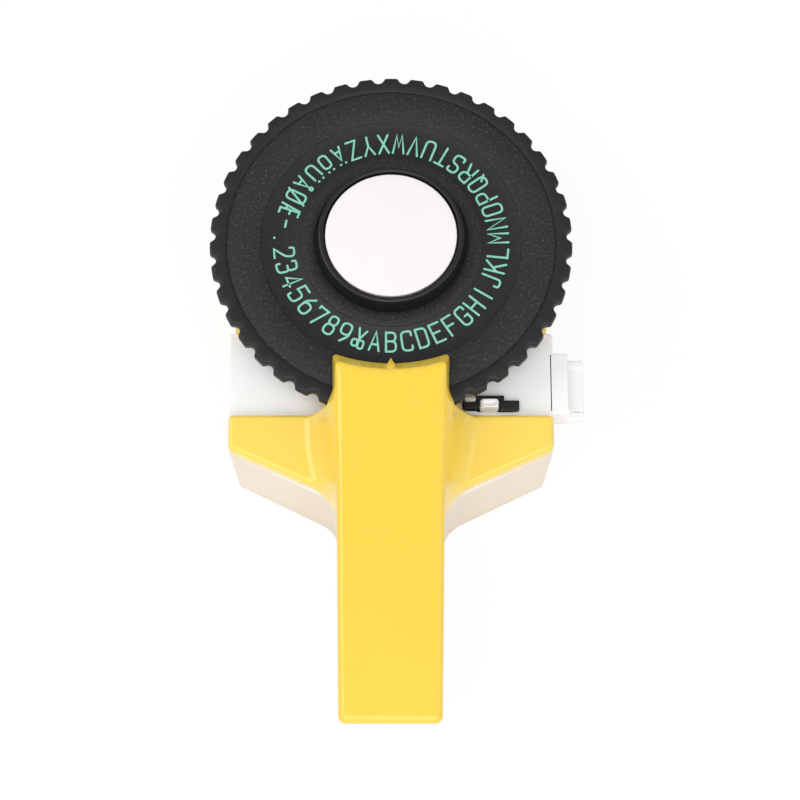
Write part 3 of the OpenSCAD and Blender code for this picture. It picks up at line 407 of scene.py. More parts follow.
def block(x, y, z, low, high, r):
    """A box with rounded edges, from its low to its high corner."""
    outside = 0.0
    inside = -1e9
    for value, a, b in zip((x, y, z), low, high):
        q = np.abs(value - (a + b) / 2) - (b - a) / 2 + r
        outside = outside + np.maximum(q, 0.0) ** 2
        inside = np.maximum(inside, q)
    return np.sqrt(outside) + np.minimum(inside, 0.0) - r


def blocks(x, y, z, boxes):
    """Several rounded boxes (low corner, high corner, rounding) as one field."""
    out = np.inf
    for low, high, r in boxes:
        out = np.minimum(out, block(x, y, z, low, high, r))
    return out


def upright(x, y, z, at, r, low, high, edge=0.2):
    """A standing cylinder."""
    return round_both(np.hypot(x - at[0], y - at[1]) - r, between(z, low, high), edge)


def lying(x, y, z, at, r, low, high, edge=0.2):
    """A cylinder along x, at the given y and z."""
    return round_both(np.hypot(y - at[0], z - at[1]) - r, between(x, low, high), edge)


def rounded_outline(corners, steps=6):
    """A closed outline of corners (x, y, radius) with each corner rounded."""
    out = []
    count = len(corners)
    for i, (px, py, r) in enumerate(corners):
        p = Vector((px, py))
        a = (Vector(corners[i - 1][:2]) - p).normalized()
        b = (Vector(corners[(i + 1) % count][:2]) - p).normalized()
        if r <= 0:
            out.append((px, py))
            continue
        half = a.angle(b) / 2
        centre = p + (a + b).normalized() * (r / math.sin(half))
        start = p + a * (r / math.tan(half)) - centre
        end = p + b * (r / math.tan(half)) - centre
        turn = math.atan2(start.x * end.y - start.y * end.x, start.dot(end))
        first = math.atan2(start.y, start.x)
        for k in range(steps + 1):
            t = first + turn * k / steps
            out.append((centre.x + r * math.cos(t), centre.y + r * math.sin(t)))
    return out


def drafted(x, y, z, plan, half, draft):
    """A plan whose two long sides lean in below the deck."""
    return np.maximum(outline_field(x, y, plan), np.abs(x) - half + (DECK - z) * draft)


def mirrored(left):
    """A left half of corners with its mirror image."""
    return left + [(-x, y, r) for x, y, r in reversed(left)]


def outline_field(x, y, outline):
    """Signed distance to a closed outline."""
    best = np.full(np.broadcast(x, y).shape, 1e9)
    inside = np.zeros(best.shape, bool)
    for (ax, ay), (bx, by) in zip(outline, outline[1:] + outline[:1]):
        ex, ey = bx - ax, by - ay
        size = ex * ex + ey * ey
        if size < 1e-12:
            continue
        t = np.clip(((x - ax) * ex + (y - ay) * ey) / size, 0.0, 1.0)
        best = np.minimum(best, (x - ax - t * ex) ** 2 + (y - ay - t * ey) ** 2)
        if ey:
            crosses = (ay > y) != (by > y)
            inside ^= crosses & (x < ax + (y - ay) * ex / ey)
    return np.where(inside, -1.0, 1.0) * np.sqrt(best)


# Meshes


def net(field, low, high, step):
    """A smooth quad mesh over a field's zero level: points, faces and normals.

    Each cell that the level crosses gets one point, each crossed grid edge one quad, and the points are
    then drawn onto the level.
    """
    axes = [np.arange(a - 1.5 * step, b + 2.5 * step, step) for a, b in zip(low, high)]
    grid = np.meshgrid(*axes, indexing="ij", sparse=True)
    values = np.broadcast_to(field(*grid), tuple(len(a) for a in axes))
    cells = tuple(len(a) - 1 for a in axes)
    total = np.zeros(cells + (3,))
    count = np.zeros(cells)
    crossings = []
    for axis in range(3):
        first = np.take(values, range(cells[axis]), axis)
        second = np.take(values, range(1, cells[axis] + 1), axis)
        cross = (first < 0) != (second < 0)
        part = np.where(cross, first / np.where(cross, first - second, 1.0), 0.0)
        crossings.append((cross, first < 0))
        others = [k for k in range(3) if k != axis]
        for da in (0, 1):
            for db in (0, 1):
                cut = [slice(None)] * 3
                cut[others[0]] = slice(da, da + cells[others[0]])
                cut[others[1]] = slice(db, db + cells[others[1]])
                hit = cross[tuple(cut)]
                count += hit
                for k in range(3):
                    base = axes[k][:-1] if k == axis else axes[k]
                    shape = [1, 1, 1]
                    shape[k] = len(base)
                    spot = base.reshape(shape) + (part * step if k == axis else 0.0)
                    spot = np.broadcast_to(spot, cross.shape)[tuple(cut)]
                    total[..., k] += np.where(hit, spot, 0.0)
    used = count > 0
    number = np.full(cells, -1)
    number[used] = np.arange(used.sum())
    points = total[used] / count[used][:, None]
    faces = []
    for axis, (cross, lower_inside) in enumerate(crossings):
        a, b = (axis + 1) % 3, (axis + 2) % 3
        index = np.argwhere(cross)
        keep = np.ones(len(index), bool)
        for side in (a, b):
            keep &= (index[:, side] > 0) & (index[:, side] < cells[side])
        index = index[keep]
        ring = []
        for da, db in ((-1, -1), (0, -1), (0, 0), (-1, 0)):
            near = index.copy()
            near[:, a] += da
            near[:, b] += db
            ring.append(number[tuple(near.T)])
        quads = np.stack(ring, 1)
        outward = lower_inside[tuple(index.T)]
        faces.append(np.where(outward[:, None], quads, quads[:, ::-1]))
    faces = np.concatenate(faces)
    start = points.copy()
    for _ in range(5):
        value = field(*points.T)
        slope = gradient(field, points, 0.02)
        move = value[:, None] * slope / np.maximum((slope ** 2).sum(1), 0.05)[:, None]
        points = start + np.clip(points - move - start, -0.7 * step, 0.7 * step)
    normals = gradient(field, points, 0.06)
    normals /= np.maximum(np.linalg.norm(normals, axis=1), 1e-9)[:, None]
    return points, faces, normals


def gradient(field, points, reach):
    """Slope of a field at points, by central differences."""
    out = np.zeros(points.shape)
    for axis in range(3):
        step = np.zeros(3)
        step[axis] = reach
        out[:, axis] = (field(*(points + step).T) - field(*(points - step).T)) / (2 * reach)
    return out


def add_piece(name, points, faces, material, body, nodes=(), normals=None, crease=None):
    """Links a mesh given in millimetres, rides it on a body and lets it stand for CAD nodes."""
    mesh = bpy.data.meshes.new(name)
    mesh.from_pydata(np.asarray(points) * MM, [], [list(map(int, f)) for f in faces])
    mesh.validate()
    mesh.update()
    mesh.polygons.foreach_set("use_smooth", [True] * len(mesh.polygons))
    if crease is not None:
        mesh.set_sharp_from_angle(angle=math.radians(crease))
    if normals is not None:
        mesh.normals_split_custom_set_from_vertices([tuple(n) for n in normals])
    mesh.materials.append(material)
    piece = bpy.data.objects.new(name, mesh)
    bpy.context.scene.collection.objects.link(piece)
    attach(piece, body)
    if nodes:
        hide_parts(*nodes)
    return piece


def add_moulding(name, field, low, high, step, material, body, nodes=()):
    """Adds a piece from a field inside the box from low to high."""
    points, faces, normals = net(field, low, high, step)
    return add_piece(name, points, faces, material, body, nodes, normals)


def turned(rings, segments, start=0.0):
    """A closed ring of quads through rings (radius or radii, height), from the inside top outwards."""
    angle = start + np.arange(segments) * 2 * math.pi / segments
    points = []
    for r, z in rings:
        r = np.broadcast_to(r, (segments,))
        points.append(np.stack([r * np.cos(angle), r * np.sin(angle), np.full(segments, z)], 1))
    count = len(rings)
    faces = []
    for i in range(count):
        j = (i + 1) % count
        for k in range(segments):
            m = (k + 1) % segments
            faces.append((i * segments + k, j * segments + k, j * segments + m, i * segments + m))
    return np.concatenate(points), faces


def capped(rings, segments):
    """A turned form that is closed at its first and last ring by a flat cap."""
    points, faces = turned(rings, segments)
    count = len(rings)
    faces = faces[:(count - 1) * segments]
    faces.append(tuple(range(segments)))
    faces.append(tuple((count - 1) * segments + k for k in reversed(range(segments))))
    return points, faces


# Characters as strokes of x,y points, 4 wide and 8 high, with r for a rounded corner and @ for a closed line

CHARACTERS = (
    "B C D E F G H I J K L M N O P Q R S T U V W X Y Z "
    "AE OE UE AO OO AA - . 2 3 4 5 6 7 8 9 CUT A").split()

STROKES = {
    "A": ["0,0 2,8 4,0", "0.7,2.6 3.3,2.6"],
    "B": ["0,0 0,8 3.8,8,r 3.8,4.3,r 0,4.3", "0,4.3 4,4.3,r 4,0,r 0,0"],
    "C": ["4,6.2 4,8,r 0,8,r 0,0,r 4,0,r 4,1.8"],
    "D": ["@0,0 0,8 4,8,r 4,0,r"],
    "E": ["4,8 0,8 0,0 4,0", "0,4.2 3.2,4.2"],
    "F": ["4,8 0,8 0,0", "0,4.2 3.2,4.2"],
    "G": ["4,6.2 4,8,r 0,8,r 0,0,r 4,0,r 4,3.6 2.4,3.6"],
    "H": ["0,0 0,8", "4,0 4,8", "0,4.2 4,4.2"],
    "I": ["2,0 2,8"],
    "J": ["3.6,8 3.6,0,r 0.3,0,r 0.3,1.8"],
    "K": ["0,0 0,8", "4,8 0,3", "1.5,4.8 4,0"],
    "L": ["0,8 0,0 3.8,0"],
    "M": ["0,0 0,8 2,3.2 4,8 4,0"],
    "N": ["0,0 0,8 4,0 4,8"],
    "O": ["@0,0,r 0,8,r 4,8,r 4,0,r"],
    "P": ["0,0 0,8 4,8,r 4,3.8,r 0,3.8"],
    "Q": ["@0,0,r 0,8,r 4,8,r 4,0,r", "2.3,2 4.2,-0.4"],
    "R": ["0,0 0,8 4,8,r 4,4,r 0,4", "2.2,4 4,0"],
    "S": ["3.9,6.4 3.9,8,r 0.1,8,r 0.1,4.3,r 4,4,r 4,0,r 0,0,r 0,1.6"],
    "T": ["0,8 4,8", "2,8 2,0"],
    "U": ["0,8 0,0,r 4,0,r 4,8"],
    "V": ["0,8 2,0 4,8"],
    "W": ["-0.2,8 0.9,0 2,5.4 3.1,0 4.2,8"],
    "X": ["0,0 4,8", "0,8 4,0"],
    "Y": ["0,8 2,4 4,8", "2,4 2,0"],
    "Z": ["0,8 4,8 0,0 4,0"],
    "AE": ["0.2,0 2,6 3.8,0", "0.8,2 3.2,2", "0.7,7.7 0.9,7.7", "3.1,7.7 3.3,7.7"],
    "OE": ["@0.2,0,r 0.2,6,r 3.8,6,r 3.8,0,r", "0.7,7.7 0.9,7.7", "3.1,7.7 3.3,7.7"],
    "UE": ["0,6.4 0,0,r 4,0,r 4,6.4", "0.7,7.8 0.9,7.8", "3.1,7.8 3.3,7.8"],
    "AO": ["0.2,0 2,6 3.8,0", "0.8,2 3.2,2", "@1.4,6.7,r 1.4,8,r 2.6,8,r 2.6,6.7,r"],
    "OO": ["@0,0,r 0,8,r 4,8,r 4,0,r", "-0.2,-0.4 4.2,8.4"],
    "AA": ["-0.2,0 1.6,8 4.2,8", "2,8 2,0 4.2,0", "0.4,2.4 2,2.4", "2,4.3 3.8,4.3"],
    "-": ["0.6,4 3.4,4"],
    ".": ["1.9,0.2 2.1,0.2"],
    "2": ["0.1,6.3 0.1,8,r 3.9,8,r 3.9,4.6,r 0,0 4,0"],
    "3": ["0.1,6.6 0.1,8,r 3.8,8,r 3.8,4.3,r 1.6,4.3", "1.6,4.3 4,4.3,r 4,0,r 0,0,r 0,1.5"],
    "4": ["3,0 3,8 0,2.4 4.2,2.4"],
    "5": ["3.8,8 0.3,8 0.1,4.7 4,5,r 4,0,r 0,0,r 0,1.5"],
    "6": ["@0,0,r 0,4.8,r 4,4.8,r 4,0,r", "0,2.4 0,5,r 2.6,8"],
    "7": ["0,7 0,8 4,8 1.4,0"],
    "8": ["@0.3,4.3,r 0.3,8,r 3.7,8,r 3.7,4.3,r", "@0,0,r 0,4.3,r 4,4.3,r 4,0,r"],
    "9": ["@0,3.2,r 0,8,r 4,8,r 4,3.2,r", "4,5.6 4,3,r 1.4,0"],
    "CUT": ["0.9,8 2.1,3.2", "4.2,7.4 1.5,2.6", "@-0.6,0.2,r -0.6,3,r 1.7,3,r 1.7,0.2,r",
            "@2,-0.4,r 2,3,r 4.2,3,r 4.2,-0.4,r"],
}
GRID_WIDTH = 4.0
GRID_HEIGHT = 8.0
ROUND_SHARE = 0.48
ROUND_STEPS = 5
CAP_ANGLES = [math.radians(28 * k) for k in (1, 2, 3)]
INK_HEIGHT = 0.10
INK_STEP = 0.004
INK_SUNK = 0.02


def stroke_line(text, size):
    """The points of one stroke in millimetres, and whether it is closed."""
    closed = text.startswith("@")
    corners = []
    for word in text.lstrip("@").split():
        x, y, *kind = word.split(",")
        corners.append((float(x) * size[0] / GRID_WIDTH, float(y) * size[1] / GRID_HEIGHT, bool(kind)))
    out = []
    count = len(corners)
    for i, (x, y, soft) in enumerate(corners):
        p = Vector((x, y))
        if not soft or (not closed and i in (0, count - 1)):
            out.append(p)
            continue
        a = Vector(corners[i - 1][:2]) - p
        b = Vector(corners[(i + 1) % count][:2]) - p
        reach = min(ROUND_SHARE * a.length, ROUND_SHARE * b.length, ROUND_SHARE * size[0])
        first = p + a.normalized() * reach
        last = p + b.normalized() * reach
        for k in range(ROUND_STEPS + 1):
            t = k / ROUND_STEPS
            out.append(first * (1 - t) ** 2 + p * (2 * t * (1 - t)) + last * t ** 2)
    return out, closed


def ribbon(line, closed, half):
    """The left and right edges of a stroke, with rounded ends."""
    count = len(line)
    cap = [(math.sin(t) * half, math.cos(t) * half) for t in CAP_ANGLES]
    left, right = [], []
    for i, p in enumerate(line):
        before = line[i - 1] if i or closed else p
        after = line[(i + 1) % count] if i < count - 1 or closed else p
        d1 = (p - before).normalized() if (p - before).length > 1e-6 else None
        d2 = (after - p).normalized() if (after - p).length > 1e-6 else None
        d1, d2 = d1 or d2, d2 or d1
        side = Vector((-d1.y - d2.y, d1.x + d2.x)).normalized()
        stretch = min(1.0 / max(side.dot(Vector((-d1.y, d1.x))), 0.3), 1.6)
        spots = [(0.0, half * stretch)]
        if i == 0 and not closed:
            spots = [(-ahead, reach) for ahead, reach in reversed(cap)] + spots
        if i == count - 1 and not closed:
            spots = spots + cap
        for ahead, reach in spots:
            left.append(p + d1 * ahead + side * reach)
            right.append(p + d1 * ahead - side * reach)
    return left, right


def character_mesh(dial):
    """All characters as flat raised ribbons on the band, feet outwards."""
    points, faces = [], []
    size = (dial.letter_width / MM, dial.letter_height / MM)
    foot = dial.letter_foot / MM
    floor = (dial.face - dial.band_depth) / MM
    half = dial.stroke / MM / 2
    pitch = 2 * math.pi / dial.teeth
    for place, key in enumerate(CHARACTERS):
        turn = -math.pi / 2 + place * pitch
        out = Vector((math.cos(turn), math.sin(turn)))
        right_way = Vector((-out.y, out.x))
        for number, text in enumerate(STROKES[key]):
            line, closed = stroke_line(text, size)
            edges = ribbon(line, closed, half)
            top = floor + INK_HEIGHT + INK_STEP * number
            base = len(points)
            count = len(edges[0])
            for side in edges:
                for p in side:
                    spot = out * (foot - p.y) + right_way * (p.x - size[0] / 2)
                    points.append((spot.x, spot.y, top))
                    points.append((spot.x, spot.y, floor - INK_SUNK))
            for i in range(count if closed else count - 1):
                a, b = base + 2 * i, base + 2 * ((i + 1) % count)
                c, d = a + 2 * count, b + 2 * count
                faces.append((a, c, d, b))
                faces.append((a + 1, a, b, b + 1))
                faces.append((c, c + 1, d + 1, d))
                faces.append((a + 1, b + 1, d + 1, c + 1))
            if not closed:
                for i, flip in ((0, False), (count - 1, True)):
                    a, c = base + 2 * i, base + 2 * i + 2 * count
                    quad = (a, a + 1, c + 1, c)
                    faces.append(quad[::-1] if flip else quad)
    return points, faces


class EMBOSSER_OT_dial(Operator):
    """Builds the toothed dial, its knob, the pale disc and the characters."""

    bl_idname = "embosser.dial"
    bl_label = "Dial"

    def execute(self, context):
        dial = context.scene.embosser_dial
        hues = context.scene.embosser_colours
        face = dial.face / MM
        self.plate(dial, face, hues.charcoal)
        self.knob(dial, face, satin_black("Knob black", [0.55 * c for c in hues.charcoal], 0.36))
        self.disc(dial, moulded_finish("Bare white disc", hues.disc, 0.30, 0.02, 0.1))
        points, faces = character_mesh(dial)
        ink = printed_finish("Mint ink", hues.mint)
        add_piece("dial_characters", points, faces, ink, "dial", crease=30)
        return {"FINISHED"}

    def teeth(self, dial, per_tooth):
        """Radius of the rim at each segment, with a round notch between two teeth."""
        rim = dial.radius / MM
        depth = dial.notch_depth / MM
        half = dial.notch_width / MM / 2
        notch = (half ** 2 + depth ** 2) / (2 * depth)
        centre = rim - depth + notch
        segments = dial.teeth * per_tooth
        step = np.arange(segments) % per_tooth
        offset = np.where(step > per_tooth / 2, step - per_tooth, step) * 2 * math.pi / segments
        reach = notch ** 2 - (centre * np.sin(offset)) ** 2
        edge = np.where(reach > 0, centre * np.cos(offset) - np.sqrt(np.maximum(reach, 0.0)), rim)
        edge = np.minimum(edge, rim)
        return (np.roll(edge, 1) + 2 * edge + np.roll(edge, -1)) / 4

    def plate(self, dial, face, charcoal):
        """The dial: a groove round the knob, the sunk character band, a fine groove and the teeth."""
        edge = self.teeth(dial, 24)
        low = face - dial.thickness / MM
        groove = dial.groove / MM
        out, inn = dial.band_out / MM, dial.band_in / MM
        floor = face - dial.band_depth / MM
        hidden = dial.disc_radius / MM - 2.0
        foot = dial.knob_radius / MM
        knob_seat = [
            (hidden, face), (foot - 0.2, face), (foot - 0.1, face - 0.45), (foot + 0.3, face - 0.45),
            (foot + 0.42, face - 0.06), (foot + 0.52, face)]
        band = [
            (inn - 0.12, face), (inn - 0.04, face - 0.06), (inn + 0.05, floor + 0.05), (inn + 0.14, floor),
            (out - 0.14, floor), (out - 0.05, floor + 0.05), (out + 0.04, face - 0.06), (out + 0.12, face)]
        line = [
            (groove - 0.34, face), (groove - 0.24, face - 0.05), (groove - 0.1, face - 0.3),
            (groove + 0.1, face - 0.3), (groove + 0.24, face - 0.05), (groove + 0.34, face)]
        rim = [
            (edge - 0.75, face), (edge - 0.42, face - 0.07), (edge - 0.17, face - 0.25),
            (edge - 0.03, face - 0.6), (edge, low + 0.6), (edge - 0.12, low + 0.2), (edge - 0.5, low),
            (hidden, low)]
        points, faces = turned(knob_seat + band + line + rim, len(edge), -math.pi / 2)
        finish = grained_black("Dial grain", charcoal, ((foot, inn), (out, groove)))
        add_piece("dial_face", points, faces, finish, "dial", ["dial_plate"], crease=40)

    def knob(self, dial, face, material):
        """The knob's ring, with a narrow gap round the disc."""
        r = dial.knob_radius / MM
        top = node_box("dial_knob")[1][2]
        disc = dial.disc_radius / MM
        seat = [
            (disc - 1.5, top - 1.8), (disc + 0.5, top - 1.8), (disc + 0.53, top - 0.4),
            (disc + 0.63, top - 0.14), (disc + 0.85, top)]
        crown = [(r - 1.2, top), (r - 0.92, top - 0.08), (r - 0.74, top - 0.28), (r - 0.66, top - 0.6)]
        flank = [
            (r - 0.3, face + 1.4), (r - 0.12, face + 0.6), (r, face + 0.3), (r, face - 0.05),
            (disc - 1.5, face - 0.05)]
        points, faces = turned(seat + crown + flank, 192)
        add_piece("knob_ring", points, faces, material, "dial", ["dial_knob"], crease=38)

    def disc(self, dial, material):
        """The bare disc, slightly crowned."""
        r = dial.disc_radius / MM
        low, high = (corner[2] for corner in node_box("badge_disc"))
        crown = 0.18
        rings = [(r * share, high - 0.02 - crown * share ** 2) for share in (0.02, 0.25, 0.5, 0.75, 0.9)]
        rings += [(r - 0.2, high - 0.2), (r - 0.06, high - 0.24), (r, high - 0.36), (r, low)]
        points, faces = capped(rings, 160)
        add_piece("centre_disc", points, faces, material, "dial", ["badge_disc"], crease=40)


class EMBOSSER_OT_handle(Operator):
    """Builds the yellow handle with nose, wings and grip bar, and the pointer."""

    bl_idname = "embosser.handle"
    bl_label = "Handle"

    def execute(self, context):
        body = context.scene.embosser_body
        dial = context.scene.embosser_dial
        hues = context.scene.embosser_colours
        # Painted light: below 31 mm, fading out by 39 mm, the moulding gets the lighter yellow.
        foot = (hues.painted_light_yellow, 31.0, 39.0)
        finish = moulded_finish("Yellow moulding", hues.yellow, 0.24, 0.02, 0.4, foot)
        low, high = node_box("upper_shell")
        add_moulding("handle_shell", self.field(body, dial, low, high), low, high, 0.45,
                     finish, "casing", ["upper_shell"])
        self.pointer(dial, finish)
        return {"FINISHED"}

    def field(self, body, dial, low, high):
        """The handle's outside, open below for the grip plate."""
        face = dial.face / MM
        under = face + 0.3
        dial_room = dial.radius / MM + 0.6
        deck, top = low[2], high[2]
        wing_top = deck + 4.0
        end = -low[1] + 0.45
        drop = 4.5
        slant = 2.5 / 12.0
        front_half, end_half = 12.7, 11.55
        front_draft, end_draft, draft_depth = 0.19, 0.012, 8.0
        flare, flare_depth = body.flare / MM, 2.6
        nose_back, nose_sweep = 30.9, 37.0
        bevel_low, bevel_run = face + 1.2, 3.2
        lean = bevel_run / (top - bevel_low)
        nose_edge, tip_edge = body.nose_edge / MM, 0.5
        edge, end_edge, wing_edge = body.bar_edge / MM, 1.6, body.wing_edge / MM
        cove_width, cove_height = body.cove_width / MM, body.cove_height / MM
        tip = high[0]
        wings = rounded_outline(mirrored([(-tip, -40.6, 1.0), (-tip, -48.8, 1.8), (-12.6, -60.3, 0.0)]))
        grip_low, grip_high = node_box("grip_plate")

        def field(x, y, z):
            back = -y
            share = (back - nose_back) / (end - nose_back)
            crown = top - drop * share
            depth = np.maximum(crown - z, 0.0)
            draft = front_draft + (end_draft - front_draft) * ease(back, 44.0, 22.0)
            half = front_half + (end_half - front_half) * share
            half = half + draft * draft_depth * np.tanh(depth / draft_depth)
            spread = ease(back, 36.3, 5.2) * (1 - ease(back, 47.0, 17.0))
            side = np.abs(x) - half - flare * spread * (1 - np.exp(-(depth / flare_depth) ** 2))
            rear = (back - end + (top - drop - z) * slant) / math.hypot(1.0, slant)
            bar = round_both(side, rear, end_edge)
            reach = np.hypot(x, y - nose_sweep + nose_back) - nose_sweep
            bevel = ((z - bevel_low) * lean - reach) / math.hypot(1.0, lean)
            bar = round_both(bar, round_both(bevel, -reach, 0.3), nose_edge)
            behind = np.clip((reach - bevel_run + 0.4) / 3.6, 0.0, 1.0)
            bar = round_both(bar, z - crown, tip_edge + (edge - tip_edge) * behind)
            plan = outline_field(x, y, wings)
            wing = round_both(plan, z - wing_top, wing_edge)
            lift = round_both(plan, (z - wing_top) * cove_width / cove_height, wing_edge)
            out = np.minimum(wing, round_either(bar, lift, cove_width))
            out = round_both(out, deck + 0.02 - z, 0.3)
            r = np.hypot(x, y)
            out = carve(out, np.maximum(r - dial_room, between(z, face - 3.1, under)), 0.3)
            out = carve(out, np.maximum(r - WELL_RADIUS, z - under), 0.3)
            bed = np.maximum(side + 2.0, between(back, -grip_high[1] - 0.1, -grip_low[1] + 0.1))
            return carve(out, np.maximum(bed, z - grip_high[2] - 0.05), 0.15)

        return field

    def pointer(self, dial, finish):
        """The raised mark on the nose's bevel."""
        face = dial.face / MM
        tip, shoulder, root = -29.5, -32.4, -33.9
        half = 0.95
        low, mid, top = face + 0.45, face + 4.3, face + 5.0
        plan = [(0.0, tip), (half, shoulder), (half, root), (-half, root), (-half, shoulder)]
        heights = [low + 0.9, mid, top, top, mid]
        points = [(x, y, low) for x, y in plan] + [(x, y, h) for (x, y), h in zip(plan, heights)]
        faces = [(4, 3, 2, 1, 0), (5, 6, 9), (6, 7, 8, 9)]
        faces += [(i, (i + 1) % 5, 5 + (i + 1) % 5, 5 + i) for i in range(5)]
        piece = add_piece("nose_pointer", points, faces, finish, "casing", crease=30)
        bevel = piece.modifiers.new("soft_edges", "BEVEL")
        bevel.width = 0.18 * MM
        bevel.segments = 2
        bevel.limit_method = "ANGLE"


class EMBOSSER_OT_case(Operator):
    """Builds the white case with its deck, the base plate, the yellow tub and the tape chute."""

    bl_idname = "embosser.case"
    bl_label = "Case"

    def execute(self, context):
        body = context.scene.embosser_body
        hues = context.scene.embosser_colours
        # Painted reflection: below the deck the white case turns to the warm bounce colour.
        white = painted_bounce_finish("White moulding", hues.white, hues.painted_bounce_cream, 23.5, 26.5, 0.38, 0.02)
        yellow = moulded_finish("Yellow tub moulding", hues.yellow, 0.29, 0.05, 0.3)
        plain = moulded_finish("White chute moulding", hues.white, 0.38, 0.02, 0.0)
        plan = rounded_outline(mirrored([
            (-CASE_HALF, CASE_FRONT, 0.4), (-CASE_HALF, -47.8, 1.8),
            (-12.2, -60.6, 8.0), (-12.2, -69.0, 0.6)]))
        near, far = (-38.3, -69.2), (38.3, -18.8)
        add_moulding("case_shell", self.case_field(plan, body.case_draft, body.case_edge / MM),
                     (*near, BASE_TOP), (*far, DECK), 0.6, white, "casing", ["lower_case"])
        add_moulding("base_cover", self.base_field(plan, body.case_draft),
                     (*near, 0.0), (*far, BASE_TOP), 0.5, white, "casing", ["base_plate"])
        add_moulding("tape_tub", self.tub_field(body.tub_edge / MM),
                     (-36.8, CASE_FRONT, 0.0), (36.8, 36.8, 33.0), 0.6,
                     yellow, "casing", ["front_housing"])
        add_moulding("chute_jaws", self.chute_field, (36.8, -39.1, 18.9), (45.8, -23.9, 27.1), 0.35,
                     plain, "casing", ["tape_chute"])
        return {"FINISHED"}

    def case_field(self, plan, draft, edge):
        """The case's shell, hollow below its deck, with the dial's well and the slots for tape and feed."""
        room_half = 35.4
        low_ceiling, high_ceiling, ceiling_step = 20.6, 25.0, -41.6
        room_plan = rounded_outline(mirrored([
            (-room_half, -10.0, 0.0), (-room_half, -46.4, 0.0), (-10.2, -58.6, 0.0), (-10.2, -80.0, 0.0)]))
        feed_slots = (
            ((16.7, -38.3, 24.0), (24.4, -35.8, 30.0), 0.1),
            ((20.15, -38.55, 20.0), (29.75, -36.05, 30.0), 0.1))

        def field(x, y, z):
            wall = drafted(x, y, z, plan, CASE_HALF, draft)
            out = round_both(round_both(wall, z - DECK, edge), BASE_TOP + 0.05 - z, 0.15)
            room = drafted(x, y, z, room_plan, room_half, draft)
            low_room = np.maximum(room, z - low_ceiling)
            high_room = np.maximum(np.maximum(room, z - high_ceiling), y - ceiling_step)
            out = carve(out, np.minimum(low_room, high_room), 0.3)
            out = carve(out, np.maximum(np.hypot(x, y) - WELL_RADIUS, 18.0 - z), 0.3)
            out = carve(out, np.maximum(np.abs(y - TAPE_Y) - TAPE_HALF, between(z, TAPE_LOW, 25.0)), 0.2)
            for low, high, r in feed_slots:
                out = carve(out, block(x, y, z, low, high, r), 0.1)
            return out

        return field

    def base_field(self, plan, draft):
        """The base plate, with a recess for each of its screws."""
        screws = [(x, y) for x in (-31.0, 31.0) for y in (-24.0, -45.0)]
        recess_radius, recess_depth = 2.55, 1.0

        def field(x, y, z):
            wall = drafted(x, y, z, plan, CASE_HALF, draft)
            out = round_both(round_both(wall, -z, 0.6), z - BASE_TOP + 0.03, 0.15)
            for sx, sy in screws:
                out = carve(out, np.maximum(np.hypot(x - sx, y - sy) - recess_radius, z - recess_depth), 0.15)
            return out

        return field

    def tub_field(self, edge):
        """The tub under the dial, with the bay's opening, the hinge's ears and the tape's slit."""
        radius, top, wall = 36.7, 33.0, 2.0
        post_x, post_y, post_radius = 27.5, 16.0, 2.5
        bay_radius = 22.7
        hinge_room = ((-8.2, 23.3, -2.0), (8.2, 32.2, 4.0), 0.2)
        ears, ear_width = (-11.2, 8.2), 3.0
        slit = ((33.0, -13.5, 2.4), (39.0, -11.0, 12.4), 0.4)

        def field(x, y, z):
            plan = np.where(y > 0, np.hypot(x, y), np.abs(x)) - radius
            out = round_both(round_both(plan, -z, edge), z - top, 0.5)
            out = carve(out, np.maximum(plan + wall, wall - z), 0.3)
            for sx in (-post_x, post_x):
                out = round_either(out, upright(x, y, z, (sx, post_y), post_radius, 1.0, 17.4), 0.5)
            out = round_both(out, CASE_FRONT - y, 0.25)
            out = carve(out, np.maximum(np.hypot(x, y - BAY_Y) - bay_radius, z - 3.0), 0.25)
            out = carve(out, block(x, y, z, *hinge_room), 0.2)
            for ear in ears:
                out = np.minimum(out, lying(x, y, z, HINGE_YZ, HINGE_RADIUS, ear, ear + ear_width))
            return carve(out, block(x, y, z, *slit), 0.3)

        return field

    @staticmethod
    def chute_field(x, y, z):
        """The tape inlet: a frame, a lip below it and a ramp down to the lip's end."""
        low, high = (36.9, -39.0, 19.0), (41.8, -24.0, 27.0)
        lip_low, lip_high = (36.9, -39.0, 20.2), (45.6, -24.0, 22.3)
        ramp_start, ramp_top, ramp_slope = high[0], 22.4, 0.2
        out = round_either(block(x, y, z, low, high, 0.4), block(x, y, z, lip_low, lip_high, 0.5), 0.4)
        across = np.abs(y - TAPE_Y) - TAPE_HALF
        out = carve(out, np.maximum(across, between(z, TAPE_LOW, 24.6)), 0.25)
        ramp = (z - ramp_top + (x - ramp_start) * ramp_slope) / math.hypot(1.0, ramp_slope)
        return carve(out, np.maximum(np.maximum(across, -ramp), ramp_start - 0.2 - x), 0.25)


